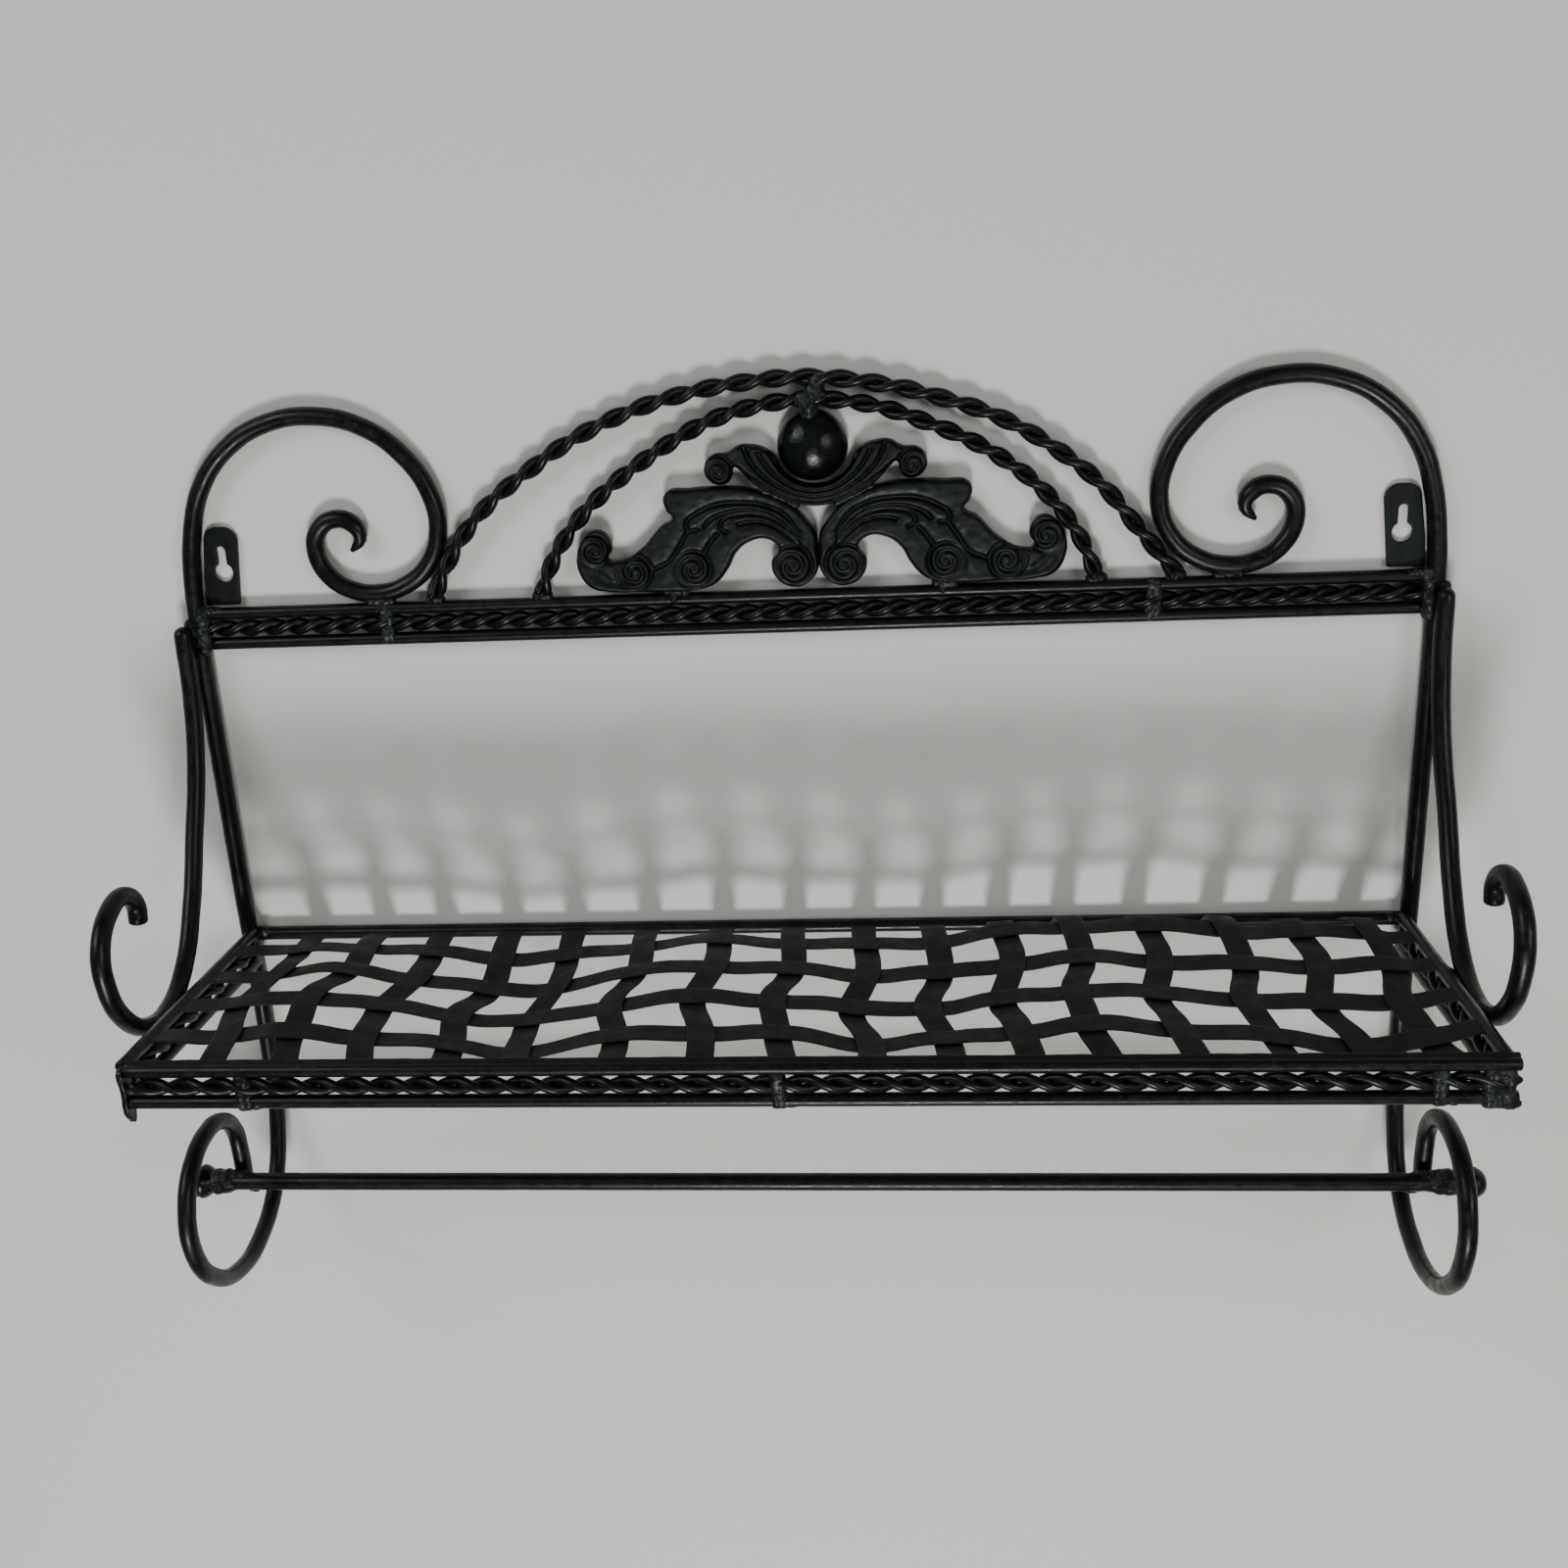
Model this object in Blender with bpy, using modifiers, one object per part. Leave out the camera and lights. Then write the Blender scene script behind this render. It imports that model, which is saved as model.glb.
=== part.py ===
"""Wrought iron wall shelf with a towel bar, as an assembly of welded pieces.

Metres, +Z up, +X to the right of someone facing the wall, +Y into the wall. The wall's face is the
plane y = 0. The origin lies on it, midway between the two keyholes, at the height where the screws hang.
Every piece is its own object. Neighbours that are welded on the real rack keep a small gap here.
"""

import math

import bmesh
import bpy
from mathutils import Matrix, Vector

MM = 0.001
GAP = 0.3 * MM

# Driving dimensions
HALF_WIDTH = 292 * MM  # from the middle to an upright's axis
HEAVY_RADIUS = 4.3 * MM  # side rods, braces and towel bar
BAND_RADIUS = 3 * MM  # the rods of the top rail and of the shelf
BAND_SPACING = 14.8 * MM  # between a band's two rods
RAIL_Z = -32 * MM  # axis of the top rail's upper rod
SHELF_Z = RAIL_Z - 166.5 * MM  # axis of the shelf's upper rods
SHELF_DEPTH = 151 * MM  # between the axes of the back and front bands
SHELF_HALF_WIDTH = 288 * MM  # from the middle to the axis of a side band
BACK_ROD_RADIUS = 3.5 * MM
BACK_ROD_Z = SHELF_Z - 2.2 * MM
FRONT_LEFT_END = -284.3 * MM  # where the front band stops, short of the left side band's outside
FRAME_Y = -HEAVY_RADIUS  # the plane of the uprights, scrolls and top rail
FRONT_Y = FRAME_Y - SHELF_DEPTH

# Twisted infill of the bands: a flat bar turned about its own length
INFILL_HEIGHT = 7.0 * MM
INFILL_THICKNESS = 4.2 * MM
RAIL_TURN = -24.3 * MM  # length of one full turn, negative where it turns the other way
SHELF_TURN = 29.5 * MM
INFILL_END_GAP = 1.5 * MM  # it stops this far short of its rods' ends
INFILL_STEPS = 6  # sections in a full turn
INFILL_REACH = math.hypot(INFILL_HEIGHT, INFILL_THICKNESS) / 2  # from its axis to its edges

# Two-strand ropes of the arches
STRAND_RADIUS = 2.0 * MM
STRAND_OFFSET = 2.4 * MM
OUTER_ROPE_TURN = 30.2 * MM
INNER_ROPE_TURN = 26.8 * MM
ROPE_STEPS = 6
ROPE_Y = -6 * MM

# Woven slats
SLAT_WIDTH = 12.2 * MM
SLAT_THICKNESS = 0.9 * MM
WEAVE_LIFT = 0.75 * MM  # a slat's rise or fall from the woven surface where it crosses another
CROSSING_REACH = 7 * MM  # from a crossing's middle to where a slat starts to change side
LONG_SLATS = 4
CROSS_SLAT_X = (-254, -220, -187, -152, -119, -81, -43, -7, 28, 62, 95, 127, 162, 200, 233, 266)
CROSS_SLAT_LEAN = 0.014  # how much further right the front end is for each metre right of LEAN_START
LEAN_START = -150 * MM
# Bends to the right that all cross slats share: share of the depth from the back, size, reach
SWAYS = ((0.36, 3, 0.17), (0.6, -5, 0.12), (1.0, 4, 0.16))
# How far each cross slat bends to the right by its front end, in millimetres
CROSS_SLAT_BEND = (2.5, -2.5, -3, 0, -3.5, 2.5, 2, -1, 4, 2.5, 0, -3, -1, 0.5, 3, -2.5)
BEND_SHARE = 0.82
BEND_REACH = 0.12

# Hills and hollows beaten into the woven surface: x, share of the depth from the back, height, reach
BULGES = (
    (-230, 0.5, 6, 29),
    (-138, 0.45, -7, 32),
    (-119, 0.9, -6, 32),
    (-50, 0.35, 5, 31),
    (-3, 0.25, 2, 27),
    (33, 0.8, -5.5, 23),
    (68, 0.65, -3, 17),
    (114, 0.05, 9, 53),
    (133, 0.65, 4, 27),
    (181, -0.05, 10.5, 38),
    (238, 1.05, -12, 38),
    (253, -0.05, 7.5, 34),
)
BULGE_DEPTH_REACH = 0.38  # share of the depth over which a bulge fades
SURFACE_RISE = 2 * MM  # how much higher the surface is than at its edges, apart from the bulges
EDGE_FADE = 13 * MM  # the surface comes down to the rods over this length

# The upper scroll: distance from the middle and height above the rail, from the tip to the upright
SCROLL = (
    (210, 28.5),
    (205.5, 34),
    (208.5, 41),
    (216.5, 43.5),
    (225, 39),
    (228, 28.5),
    (223, 16.5),
    (212, 9.2),
    (199, 7.6),
    (186, 11),
    (174, 20.5),
    (167.5, 36),
    (169.5, 54),
    (180, 71.5),
    (198, 85.5),
    (221, 91.3),
    (244, 88.7),
    (265, 77.5),
    (280, 59.5),
    (288, 37),
    (291, 17),
    (292, 0),
)
# The lower loop: distance from the wall (negative in front) and height above the rail
LOOP = (
    (-4.3, -120),
    (-4.3, -240),
    (-8, -276),
    (-24, -308),
    (-48, -322),
    (-75, -323),
    (-101, -309),
    (-115, -287),
    (-115, -264),
    (-103, -246),
    (-85, -239),
    (-68, -242),
    (-56.7, -253),
    (-54, -266),
    (-54, -287),
)
# The brace, in the same way, from its top end to the curl in front
BRACE = (
    (-13.3, -8),
    (-15, -42),
    (-21, -75),
    (-31, -106),
    (-46, -137),
    (-64, -161),
    (-84, -172),
    (-104, -171),
    (-122, -159),
    (-132, -139),
    (-130.5, -120),
    (-118, -108),
    (-104, -106.5),
    (-95.5, -114.5),
    (-96, -122),
)
BRACE_SPREAD = 5.8 * MM  # a brace starts in front of its upright and ends this far outside it
BRACE_SHIFT = -1.2 * MM  # both braces stand this far to the left
BRACE_SPREAD_END = 30 * MM  # distance from the wall at which it has done so

# Arches: distance from the middle and height above the rail, from the left foot to the right foot
OUTER_ARCH = (
    (-172.5, 5.2),
    (-162, 24),
    (-144, 45.5),
    (-121, 62.5),
    (-99, 75.8),
    (-71.5, 87.3),
    (-43, 94.7),
    (-16, 98.3),
    (9, 99.2),
    (41, 95.3),
    (70, 87.6),
    (96.5, 77.7),
    (121, 63),
    (142, 45.7),
    (159, 25),
    (175.5, 5.2),
)
INNER_ARCH = (
    (-120, 5.2),
    (-113.5, 20),
    (-100.5, 38),
    (-85.5, 52),
    (-68.5, 64),
    (-50.5, 74.5),
    (-31.5, 83),
    (-9.5, 88),
    (10.5, 89.5),
    (28.5, 87.8),
    (45, 84),
    (63.5, 77),
    (83.5, 68),
    (99.5, 58),
    (114, 46),
    (125.5, 33),
    (133.5, 20),
    (139.5, 5.2),
)

# Cast ornament, about its own middle line: distance from that line and height above the rail
ORNAMENT_X = 12.1 * MM
ORNAMENT_BACK_Y = -3 * MM
LEAF_THICKNESS = 7 * MM
CUP_THICKNESS = 8 * MM
BALL_RADIUS = 16.5 * MM
BALL_DEPTH = 12 * MM
BALL_X = ORNAMENT_X - 1 * MM
BALL_HEIGHT = 69 * MM
LEAF = (
    (11.5, 4.4),
    (20, 8.6),
    (22.2, 16.5),
    (18.8, 22.6),
    (23, 26.9),
    (31, 26.5),
    (37.8, 21.8),
    (42.4, 14),
    (48.6, 7.4),
    (58.5, 4.4),
    (87, 4.4),
    (99, 4.8),
    (108.2, 7.2),
    (113.2, 14.5),
    (113.6, 23),
    (109.4, 31),
    (103.8, 34),
    (98.4, 31),
    (97, 24.8),
    (99, 20.4),
    (93.5, 19.3),
    (83, 24.8),
    (73, 35),
    (67.5, 38.8),
    (70, 42),
    (70.2, 49.6),
    (57.5, 51.8),
    (45, 52.2),
    (33, 51.4),
    (22, 48.1),
    (13, 43.8),
    (5.5, 36.5),
    (0.8, 29),
    (0.3, 21),
    (0.3, 13),
    (4, 7.2),
)
CUP = (
    (0, 41.8),
    (12.4, 44.5),
    (22.5, 49),
    (27.3, 51.7),
    (30.4, 54.4),
    (34.2, 58.6),
    (37.2, 60.6),
    (38.2, 57),
    (40, 54),
    (44.6, 52.8),
    (49.9, 56.2),
    (50.8, 62.1),
    (46.9, 66.6),
    (40, 67.4),
    (34.5, 70.5),
    (29, 70.6),
    (22.6, 68.8),
    (17.9, 64.8),
    (15.8, 59.8),
    (9, 53.9),
    (0, 51.9),
)

# Hanger plates: the right one's sides, and its keyhole
PLATE_THICKNESS = 1.8 * MM
PLATE_SIDE = ((270.5, 3.6), (287.6, 3.6), (286.6, 17))  # its foot, and its side along the scroll
PLATE_TOP_CORNERS = (267.3, 284)
PLATE_TOP = 41.4
PLATE_CORNER_RADIUS = 7
KEYHOLE_X = 276.2 * MM
KEYHOLE_Z = -12.6 * MM
KEYHOLE_RADIUS = 4.5 * MM
KEYHOLE_SLOT_RADIUS = 2.15 * MM

# Towel bar and its finials
BAR_Y = -63 * MM
BAR_Z = RAIL_Z - 279.5 * MM
FINIAL_X = 298 * MM  # where a finial starts
FINIAL_PROFILE = (  # radius and distance from the finial's start
    (0, 20.5),
    (3.4, 19.8),
    (6.3, 17.4),
    (8, 13.8),
    (8.2, 11.2),
    (6.6, 8),
    (4.8, 4.5),
    (4.6, 0),
    (0, 0),
)

TIE_WIDTH = 6 * MM
TIE_THICKNESS = 1.2 * MM
FRONT_TIE_X = (-233, -4, 261)
RAIL_TIE_X = (-197, 166)


def clear_scene():
    for obj in list(bpy.data.objects):
        bpy.data.objects.remove(obj)


def make_collection(name):
    collection = bpy.data.collections.new(name)
    bpy.context.scene.collection.children.link(collection)
    return collection


def painted_metal(name, colour, roughness):
    material = bpy.data.materials.new(name)
    material.use_nodes = True
    shader = material.node_tree.nodes["Principled BSDF"]
    shader.inputs["Base Color"].default_value = (*colour, 1)
    shader.inputs["Roughness"].default_value = roughness
    shader.inputs["Metallic"].default_value = 0.3
    return material


clear_scene()
RACK = make_collection("towel_rack")
ROD_PAINT = painted_metal("rod_paint", (0.012, 0.014, 0.014), 0.38)
SLAT_PAINT = painted_metal("slat_paint", (0.020, 0.018, 0.016), 0.62)
CAST_PAINT = painted_metal("cast_paint", (0.016, 0.021, 0.022), 0.5)


def add_object(name, data, material):
    obj = bpy.data.objects.new(name, data)
    data.materials.append(material)
    RACK.objects.link(obj)
    return obj


def new_curve(name, radius, sides):
    """An empty 3D curve whose tube has this many sides and closed ends."""
    curve = bpy.data.curves.new(name, "CURVE")
    curve.dimensions = "3D"
    curve.bevel_depth = radius
    curve.bevel_resolution = (sides - 4) // 2
    curve.use_fill_caps = True
    return curve


def add_bent_rod(name, points, radius, steps, end_shares=(1, 1)):
    """A rod on a smooth curve through points. end_shares thin its first and its last point."""
    curve = new_curve(name, radius, 8)
    curve.resolution_u = steps
    spline = curve.splines.new("BEZIER")
    spline.bezier_points.add(len(points) - 1)
    for bezier_point, point in zip(spline.bezier_points, points):
        bezier_point.co = point
        bezier_point.handle_left_type = "AUTO"
        bezier_point.handle_right_type = "AUTO"
    spline.bezier_points[0].radius = end_shares[0]
    spline.bezier_points[-1].radius = end_shares[1]
    return add_object(name, curve, ROD_PAINT)


def add_wire(name, points, radius, sides):
    """A tube on straight runs between points."""
    curve = new_curve(name, radius, sides)
    spline = curve.splines.new("POLY")
    spline.points.add(len(points) - 1)
    for spline_point, point in zip(spline.points, points):
        spline_point.co = (*point, 1)
    return add_object(name, curve, ROD_PAINT)


def add_straight_rod(name, start, end, radius):
    return add_wire(name, (start, end), radius, 12)


def add_box(name, low, high, material):
    """A box between two corners, whose origin is its middle."""
    low = Vector(low)
    high = Vector(high)
    mesh = bpy.data.meshes.new(name)
    shape = bmesh.new()
    bmesh.ops.create_cube(shape, size=1)
    bmesh.ops.scale(shape, vec=high - low, verts=shape.verts)
    shape.to_mesh(mesh)
    shape.free()
    obj = add_object(name, mesh, material)
    obj.location = (low + high) / 2
    return obj


def add_infill(name, middle, length, turn, heading):
    """A flat bar along local X, cut into short lengths and twisted, then turned to its heading."""
    turns = length / turn
    mesh = bpy.data.meshes.new(name)
    shape = bmesh.new()
    bmesh.ops.create_cube(shape, size=1)
    bmesh.ops.scale(shape, vec=(length, INFILL_THICKNESS, INFILL_HEIGHT), verts=shape.verts)
    long_edges = [
        edge for edge in shape.edges if abs(edge.verts[0].co.x - edge.verts[1].co.x) > length / 2
    ]
    cuts = round(abs(turns) * INFILL_STEPS) - 1
    bmesh.ops.subdivide_edges(shape, edges=long_edges, cuts=cuts, use_grid_fill=True)
    shape.to_mesh(mesh)
    shape.free()
    obj = add_object(name, mesh, ROD_PAINT)
    obj.location = middle
    obj.rotation_euler.z = heading
    twist = obj.modifiers.new("twist", "SIMPLE_DEFORM")
    twist.deform_method = "TWIST"
    twist.deform_axis = "X"
    twist.angle = 2 * math.pi * turns
    return obj


def add_band(name, start, end, turn):
    """An upper rod from start to end, a lower rod under it, and the twisted infill between them."""
    start = Vector(start)
    end = Vector(end)
    drop = Vector((0, 0, -BAND_SPACING))
    add_straight_rod(name + "_upper_rod", start, end, BAND_RADIUS)
    add_straight_rod(name + "_lower_rod", start + drop, end + drop, BAND_RADIUS)
    along = end - start
    middle = (start + end) / 2 + drop / 2
    infill_length = along.length - 2 * INFILL_END_GAP
    add_infill(name + "_twist", middle, infill_length, turn, math.atan2(along.y, along.x))


def smooth_through(points, count):
    """count places evenly spaced along a smooth curve through points (Catmull-Rom)."""
    points = [Vector(point) for point in points]
    ends = [2 * points[0] - points[1], *points, 2 * points[-1] - points[-2]]
    fine = []
    for before, start, end, after in zip(ends, ends[1:], ends[2:], ends[3:]):
        for step in range(12):
            t = step / 12
            fine.append(
                0.5
                * (
                    2 * start
                    + (end - before) * t
                    + (2 * before - 5 * start + 4 * end - after) * t**2
                    + (3 * start - before - 3 * end + after) * t**3
                )
            )
    fine.append(points[-1])
    lengths = [0.0]
    for first, second in zip(fine, fine[1:]):
        lengths.append(lengths[-1] + (second - first).length)
    places = []
    index = 0
    for number in range(count):
        wanted = lengths[-1] * number / (count - 1)
        while index < len(fine) - 2 and lengths[index + 1] < wanted:
            index += 1
        share = (wanted - lengths[index]) / (lengths[index + 1] - lengths[index])
        places.append(fine[index].lerp(fine[index + 1], share))
    return places, lengths[-1]


def on_frame(outline, y):
    """Points (distance from the middle, height above the rail) as places in the plane at y."""
    return [(x * MM, y, RAIL_Z + z * MM) for x, z in outline]


def add_side_rods():
    """Scroll, upright and lower loop are one bent rod on each side."""
    scroll = on_frame(SCROLL, FRAME_Y)
    loop = [(HALF_WIDTH, y * MM, RAIL_Z + z * MM) for y, z in LOOP]
    for side, name in ((-1, "left_side_rod"), (1, "right_side_rod")):
        points = [(side * x, y, z) for x, y, z in scroll + loop]
        add_bent_rod(name, points, HEAVY_RADIUS, 2, end_shares=(0.4, 1))


def add_braces():
    for side, name in ((-1, "left_brace"), (1, "right_brace")):
        points = []
        for y, z in BRACE:
            spread = BRACE_SPREAD * min(1, -y * MM / BRACE_SPREAD_END)
            x = side * (HALF_WIDTH + spread) + BRACE_SHIFT
            points.append((x, y * MM, RAIL_Z + z * MM))
        add_bent_rod(name, points, HEAVY_RADIUS, 3, end_shares=(0.8, 1))


def add_bands():
    rail_end = HALF_WIDTH - HEAVY_RADIUS - GAP
    add_band("rail", (-rail_end, FRAME_Y, RAIL_Z), (rail_end, FRAME_Y, RAIL_Z), RAIL_TURN)
    back_start, back_end = (-rail_end, FRAME_Y, BACK_ROD_Z), (rail_end, FRAME_Y, BACK_ROD_Z)
    add_straight_rod("shelf_back_rod", back_start, back_end, BACK_ROD_RADIUS)
    front_right_end = SHELF_HALF_WIDTH + BAND_RADIUS - GAP
    start = (FRONT_LEFT_END, FRONT_Y, SHELF_Z)
    add_band("shelf_front", start, (front_right_end, FRONT_Y, SHELF_Z), SHELF_TURN)
    side_back = FRAME_Y - HEAVY_RADIUS - GAP
    side_front = FRONT_Y + BAND_RADIUS + 2 * GAP
    for side, name in ((-1, "shelf_left"), (1, "shelf_right")):
        x = side * SHELF_HALF_WIDTH
        add_band(name, (x, side_back, SHELF_Z), (x, side_front, SHELF_Z), SHELF_TURN)


def surface_height(x, y):
    """Height of the woven surface above the axes of the shelf's upper rods."""
    share = (FRAME_Y - y) / SHELF_DEPTH
    height = SURFACE_RISE
    for bulge_x, bulge_share, bulge_height, reach in BULGES:
        across = (x - bulge_x * MM) / (reach * MM)
        deep = (share - bulge_share) / BULGE_DEPTH_REACH
        height += bulge_height * MM * math.exp(-(across**2) - deep**2)
    to_edge = min(SHELF_HALF_WIDTH - abs(x), FRAME_Y - y, y - FRONT_Y)
    return height * (1 - math.exp(-((max(to_edge, 0) / EDGE_FADE) ** 2)))


def long_slat_y(row):
    return FRAME_Y - SHELF_DEPTH * (row + 1) / (LONG_SLATS + 1)


def cross_slat_x(column, y):
    """A cross slat leans a little, more so towards the right, and sways on its way to the front."""
    middle_x = CROSS_SLAT_X[column] * MM
    lean = CROSS_SLAT_LEAN * (middle_x - LEAN_START) / MM
    share = (FRAME_Y - y) / SHELF_DEPTH
    sway = sum(size * MM * math.exp(-(((share - centre) / reach) ** 2)) for centre, size, reach in SWAYS)
    bend = CROSS_SLAT_BEND[column] * MM * math.exp(-(((share - BEND_SHARE) / BEND_REACH) ** 2))
    return middle_x + lean * (share - 0.5) * MM + sway + bend


def add_slat(name, stations, along_x):
    """A strip through stations of (x, y, lift), as an open ribbon given thickness."""
    mesh = bpy.data.meshes.new(name)
    ribbon = bmesh.new()
    bmesh.ops.create_grid(ribbon, x_segments=len(stations) - 1, y_segments=1, size=1)
    spacing = 2 / (len(stations) - 1)
    for vertex in ribbon.verts:
        x, y, lift = stations[round((vertex.co.x + 1) / spacing)]
        half_width = math.copysign(SLAT_WIDTH / 2, vertex.co.y)
        if along_x:
            y += half_width
        else:
            x -= half_width
        vertex.co = (x, y, SHELF_Z + surface_height(x, y) + lift)
    ribbon.to_mesh(mesh)
    ribbon.free()
    obj = add_object(name, mesh, SLAT_PAINT)
    thickness = obj.modifiers.new("thickness", "SOLIDIFY")
    thickness.thickness = SLAT_THICKNESS
    thickness.offset = 0
    return obj


def add_slats():
    side_x = SHELF_HALF_WIDTH - BAND_RADIUS - 2 * GAP
    back_y = FRAME_Y - BACK_ROD_RADIUS - 2 * GAP
    front_y = FRONT_Y + BAND_RADIUS + 2 * GAP
    columns = range(len(CROSS_SLAT_X))
    for row in range(LONG_SLATS):
        y = long_slat_y(row)
        stations = [(-side_x, y, 0)]
        for column in columns:
            lift = -WEAVE_LIFT if (row + column) % 2 else WEAVE_LIFT
            x = cross_slat_x(column, y)
            stations.append((x - CROSSING_REACH, y, lift))
            stations.append((x + CROSSING_REACH, y, lift))
        stations.append((side_x, y, 0))
        add_slat(f"long_slat_{row + 1}", stations, True)
    for column in columns:
        stations = [(cross_slat_x(column, back_y), back_y, 0)]
        for row in range(LONG_SLATS):
            lift = WEAVE_LIFT if (row + column) % 2 else -WEAVE_LIFT
            y = long_slat_y(row)
            for station_y in (y + CROSSING_REACH, y - CROSSING_REACH):
                stations.append((cross_slat_x(column, station_y), station_y, lift))
        stations.append((cross_slat_x(column, front_y), front_y, 0))
        add_slat(f"cross_slat_{column + 1:02d}", stations, False)


def add_rope(name, outline, turn):
    """Two strands wound about an arch, half a turn apart."""
    path = on_frame(outline, ROPE_Y)
    _, length = smooth_through(path, 2)
    turns = length / turn
    count = round(turns * ROPE_STEPS) + 1
    places, _ = smooth_through(path, count)
    forward = Vector((0, -1, 0))
    for strand, phase in (("a", 0), ("b", math.pi)):
        points = []
        for number, place in enumerate(places):
            along = places[min(number + 1, count - 1)] - places[max(number - 1, 0)]
            sideways = forward.cross(along).normalized()
            angle = phase + 2 * math.pi * turns * number / (count - 1)
            points.append(place + STRAND_OFFSET * (math.cos(angle) * forward + math.sin(angle) * sideways))
        add_wire(f"{name}_strand_{strand}", points, STRAND_RADIUS, 4)


def add_flat(name, outlines, back_y, thickness, material):
    """A plate whose outlines are closed loops in the frame's plane. An inner loop is a hole."""
    curve = bpy.data.curves.new(name, "CURVE")
    curve.dimensions = "2D"
    curve.fill_mode = "BOTH"
    curve.extrude = thickness / 2
    for outline in outlines:
        spline = curve.splines.new("POLY")
        spline.points.add(len(outline) - 1)
        spline.use_cyclic_u = True
        for spline_point, (x, z) in zip(spline.points, outline):
            spline_point.co = (x, z, 0, 1)
    obj = add_object(name, curve, material)
    obj.rotation_euler.x = math.pi / 2
    obj.location.y = back_y - thickness / 2
    return obj


def add_ball():
    """A half ball, flat at the back."""
    mesh = bpy.data.meshes.new("ball")
    ball = bmesh.new()
    bmesh.ops.create_uvsphere(ball, u_segments=16, v_segments=9, radius=BALL_RADIUS)
    bmesh.ops.rotate(ball, verts=ball.verts, matrix=Matrix.Rotation(math.pi / 2, 3, "X"))
    everything = [*ball.verts, *ball.edges, *ball.faces]
    cut = bmesh.ops.bisect_plane(ball, geom=everything, plane_no=(0, 1, 0), clear_outer=True)
    rim = [item for item in cut["geom_cut"] if isinstance(item, bmesh.types.BMEdge)]
    bmesh.ops.holes_fill(ball, edges=rim)
    bmesh.ops.scale(ball, vec=(1, BALL_DEPTH / BALL_RADIUS, 1), verts=ball.verts)
    bmesh.ops.recalc_face_normals(ball, faces=ball.faces)
    ball.to_mesh(mesh)
    ball.free()
    obj = add_object("ball", mesh, CAST_PAINT)
    obj.location = (BALL_X, ORNAMENT_BACK_Y, RAIL_Z + BALL_HEIGHT)
    return obj


def add_ornament():
    add_ball()
    for side, name in ((-1, "leaf_left"), (1, "leaf_right")):
        outline = [(ORNAMENT_X + side * x * MM, RAIL_Z + z * MM) for x, z in LEAF]
        add_flat(name, [outline], ORNAMENT_BACK_Y, LEAF_THICKNESS, CAST_PAINT)
    right_half = [(ORNAMENT_X + x * MM, RAIL_Z + z * MM) for x, z in CUP]
    left_half = [(ORNAMENT_X - x * MM, RAIL_Z + z * MM) for x, z in CUP[1:-1]]
    add_flat("cup", [right_half + left_half[::-1]], ORNAMENT_BACK_Y, CUP_THICKNESS, CAST_PAINT)


def arc(centre, radius, start, end, steps):
    """Points on an arc, angles in degrees from +X towards +Z."""
    points = []
    for step in range(steps + 1):
        angle = math.radians(start + (end - start) * step / steps)
        points.append((centre[0] + radius * math.cos(angle), centre[1] + radius * math.sin(angle)))
    return points


def keyhole():
    """A round hole with a narrow slot above it, for a screw's head and neck."""
    half_opening = math.degrees(math.asin(KEYHOLE_SLOT_RADIUS / KEYHOLE_RADIUS))
    circle = arc((KEYHOLE_X, KEYHOLE_Z), KEYHOLE_RADIUS, 90 + half_opening, 450 - half_opening, 14)
    slot_end = arc((KEYHOLE_X, -KEYHOLE_SLOT_RADIUS), KEYHOLE_SLOT_RADIUS, 0, 180, 6)
    return circle + slot_end


def add_hanger_plates():
    inner, outer = PLATE_TOP_CORNERS
    corner_z = PLATE_TOP - PLATE_CORNER_RADIUS
    outline = list(PLATE_SIDE)
    outline += arc((outer - PLATE_CORNER_RADIUS, corner_z), PLATE_CORNER_RADIUS, 0, 90, 5)
    outline += arc((inner + PLATE_CORNER_RADIUS, corner_z), PLATE_CORNER_RADIUS, 90, 180, 5)
    outline = [(x * MM, RAIL_Z + z * MM) for x, z in outline]
    for side, name in ((-1, "left_hanger_plate"), (1, "right_hanger_plate")):
        outlines = [[(side * x, z) for x, z in loop] for loop in (outline, keyhole())]
        add_flat(name, outlines, 0, PLATE_THICKNESS, ROD_PAINT)


def add_finial(name, side):
    """A flared, domed end, turned about the towel bar's axis."""
    mesh = bpy.data.meshes.new(name)
    profile = bmesh.new()
    corners = [profile.verts.new((radius * MM, 0, along * MM)) for radius, along in FINIAL_PROFILE]
    for first, second in zip(corners, corners[1:]):
        profile.edges.new((first, second))
    profile.to_mesh(mesh)
    profile.free()
    obj = add_object(name, mesh, ROD_PAINT)
    obj.location = (side * FINIAL_X, BAR_Y, BAR_Z)
    obj.rotation_euler.y = side * math.pi / 2
    turning = obj.modifiers.new("turning", "SCREW")
    turning.steps = 14
    turning.render_steps = 14
    turning.use_merge_vertices = True
    turning.merge_threshold = 0.00005
    return obj


def add_towel_bar():
    end = FINIAL_X - GAP
    add_straight_rod("towel_bar", (-end, BAR_Y, BAR_Z), (end, BAR_Y, BAR_Z), HEAVY_RADIUS)
    add_finial("left_finial", -1)
    add_finial("right_finial", 1)


def add_ties():
    """Pads of weld laid over a band's two rods."""
    for places, y, upper_z, name in (
        (FRONT_TIE_X, FRONT_Y, SHELF_Z, "front_tie"),
        (RAIL_TIE_X, FRAME_Y, RAIL_Z, "rail_tie"),
    ):
        face_y = y - INFILL_REACH - GAP
        for number, x in enumerate(places):
            low = (x * MM - TIE_WIDTH / 2, face_y - TIE_THICKNESS, upper_z - BAND_SPACING - 2 * MM)
            high = (x * MM + TIE_WIDTH / 2, face_y, upper_z + 2 * MM)
            add_box(f"{name}_{number + 1}", low, high, ROD_PAINT)


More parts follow.
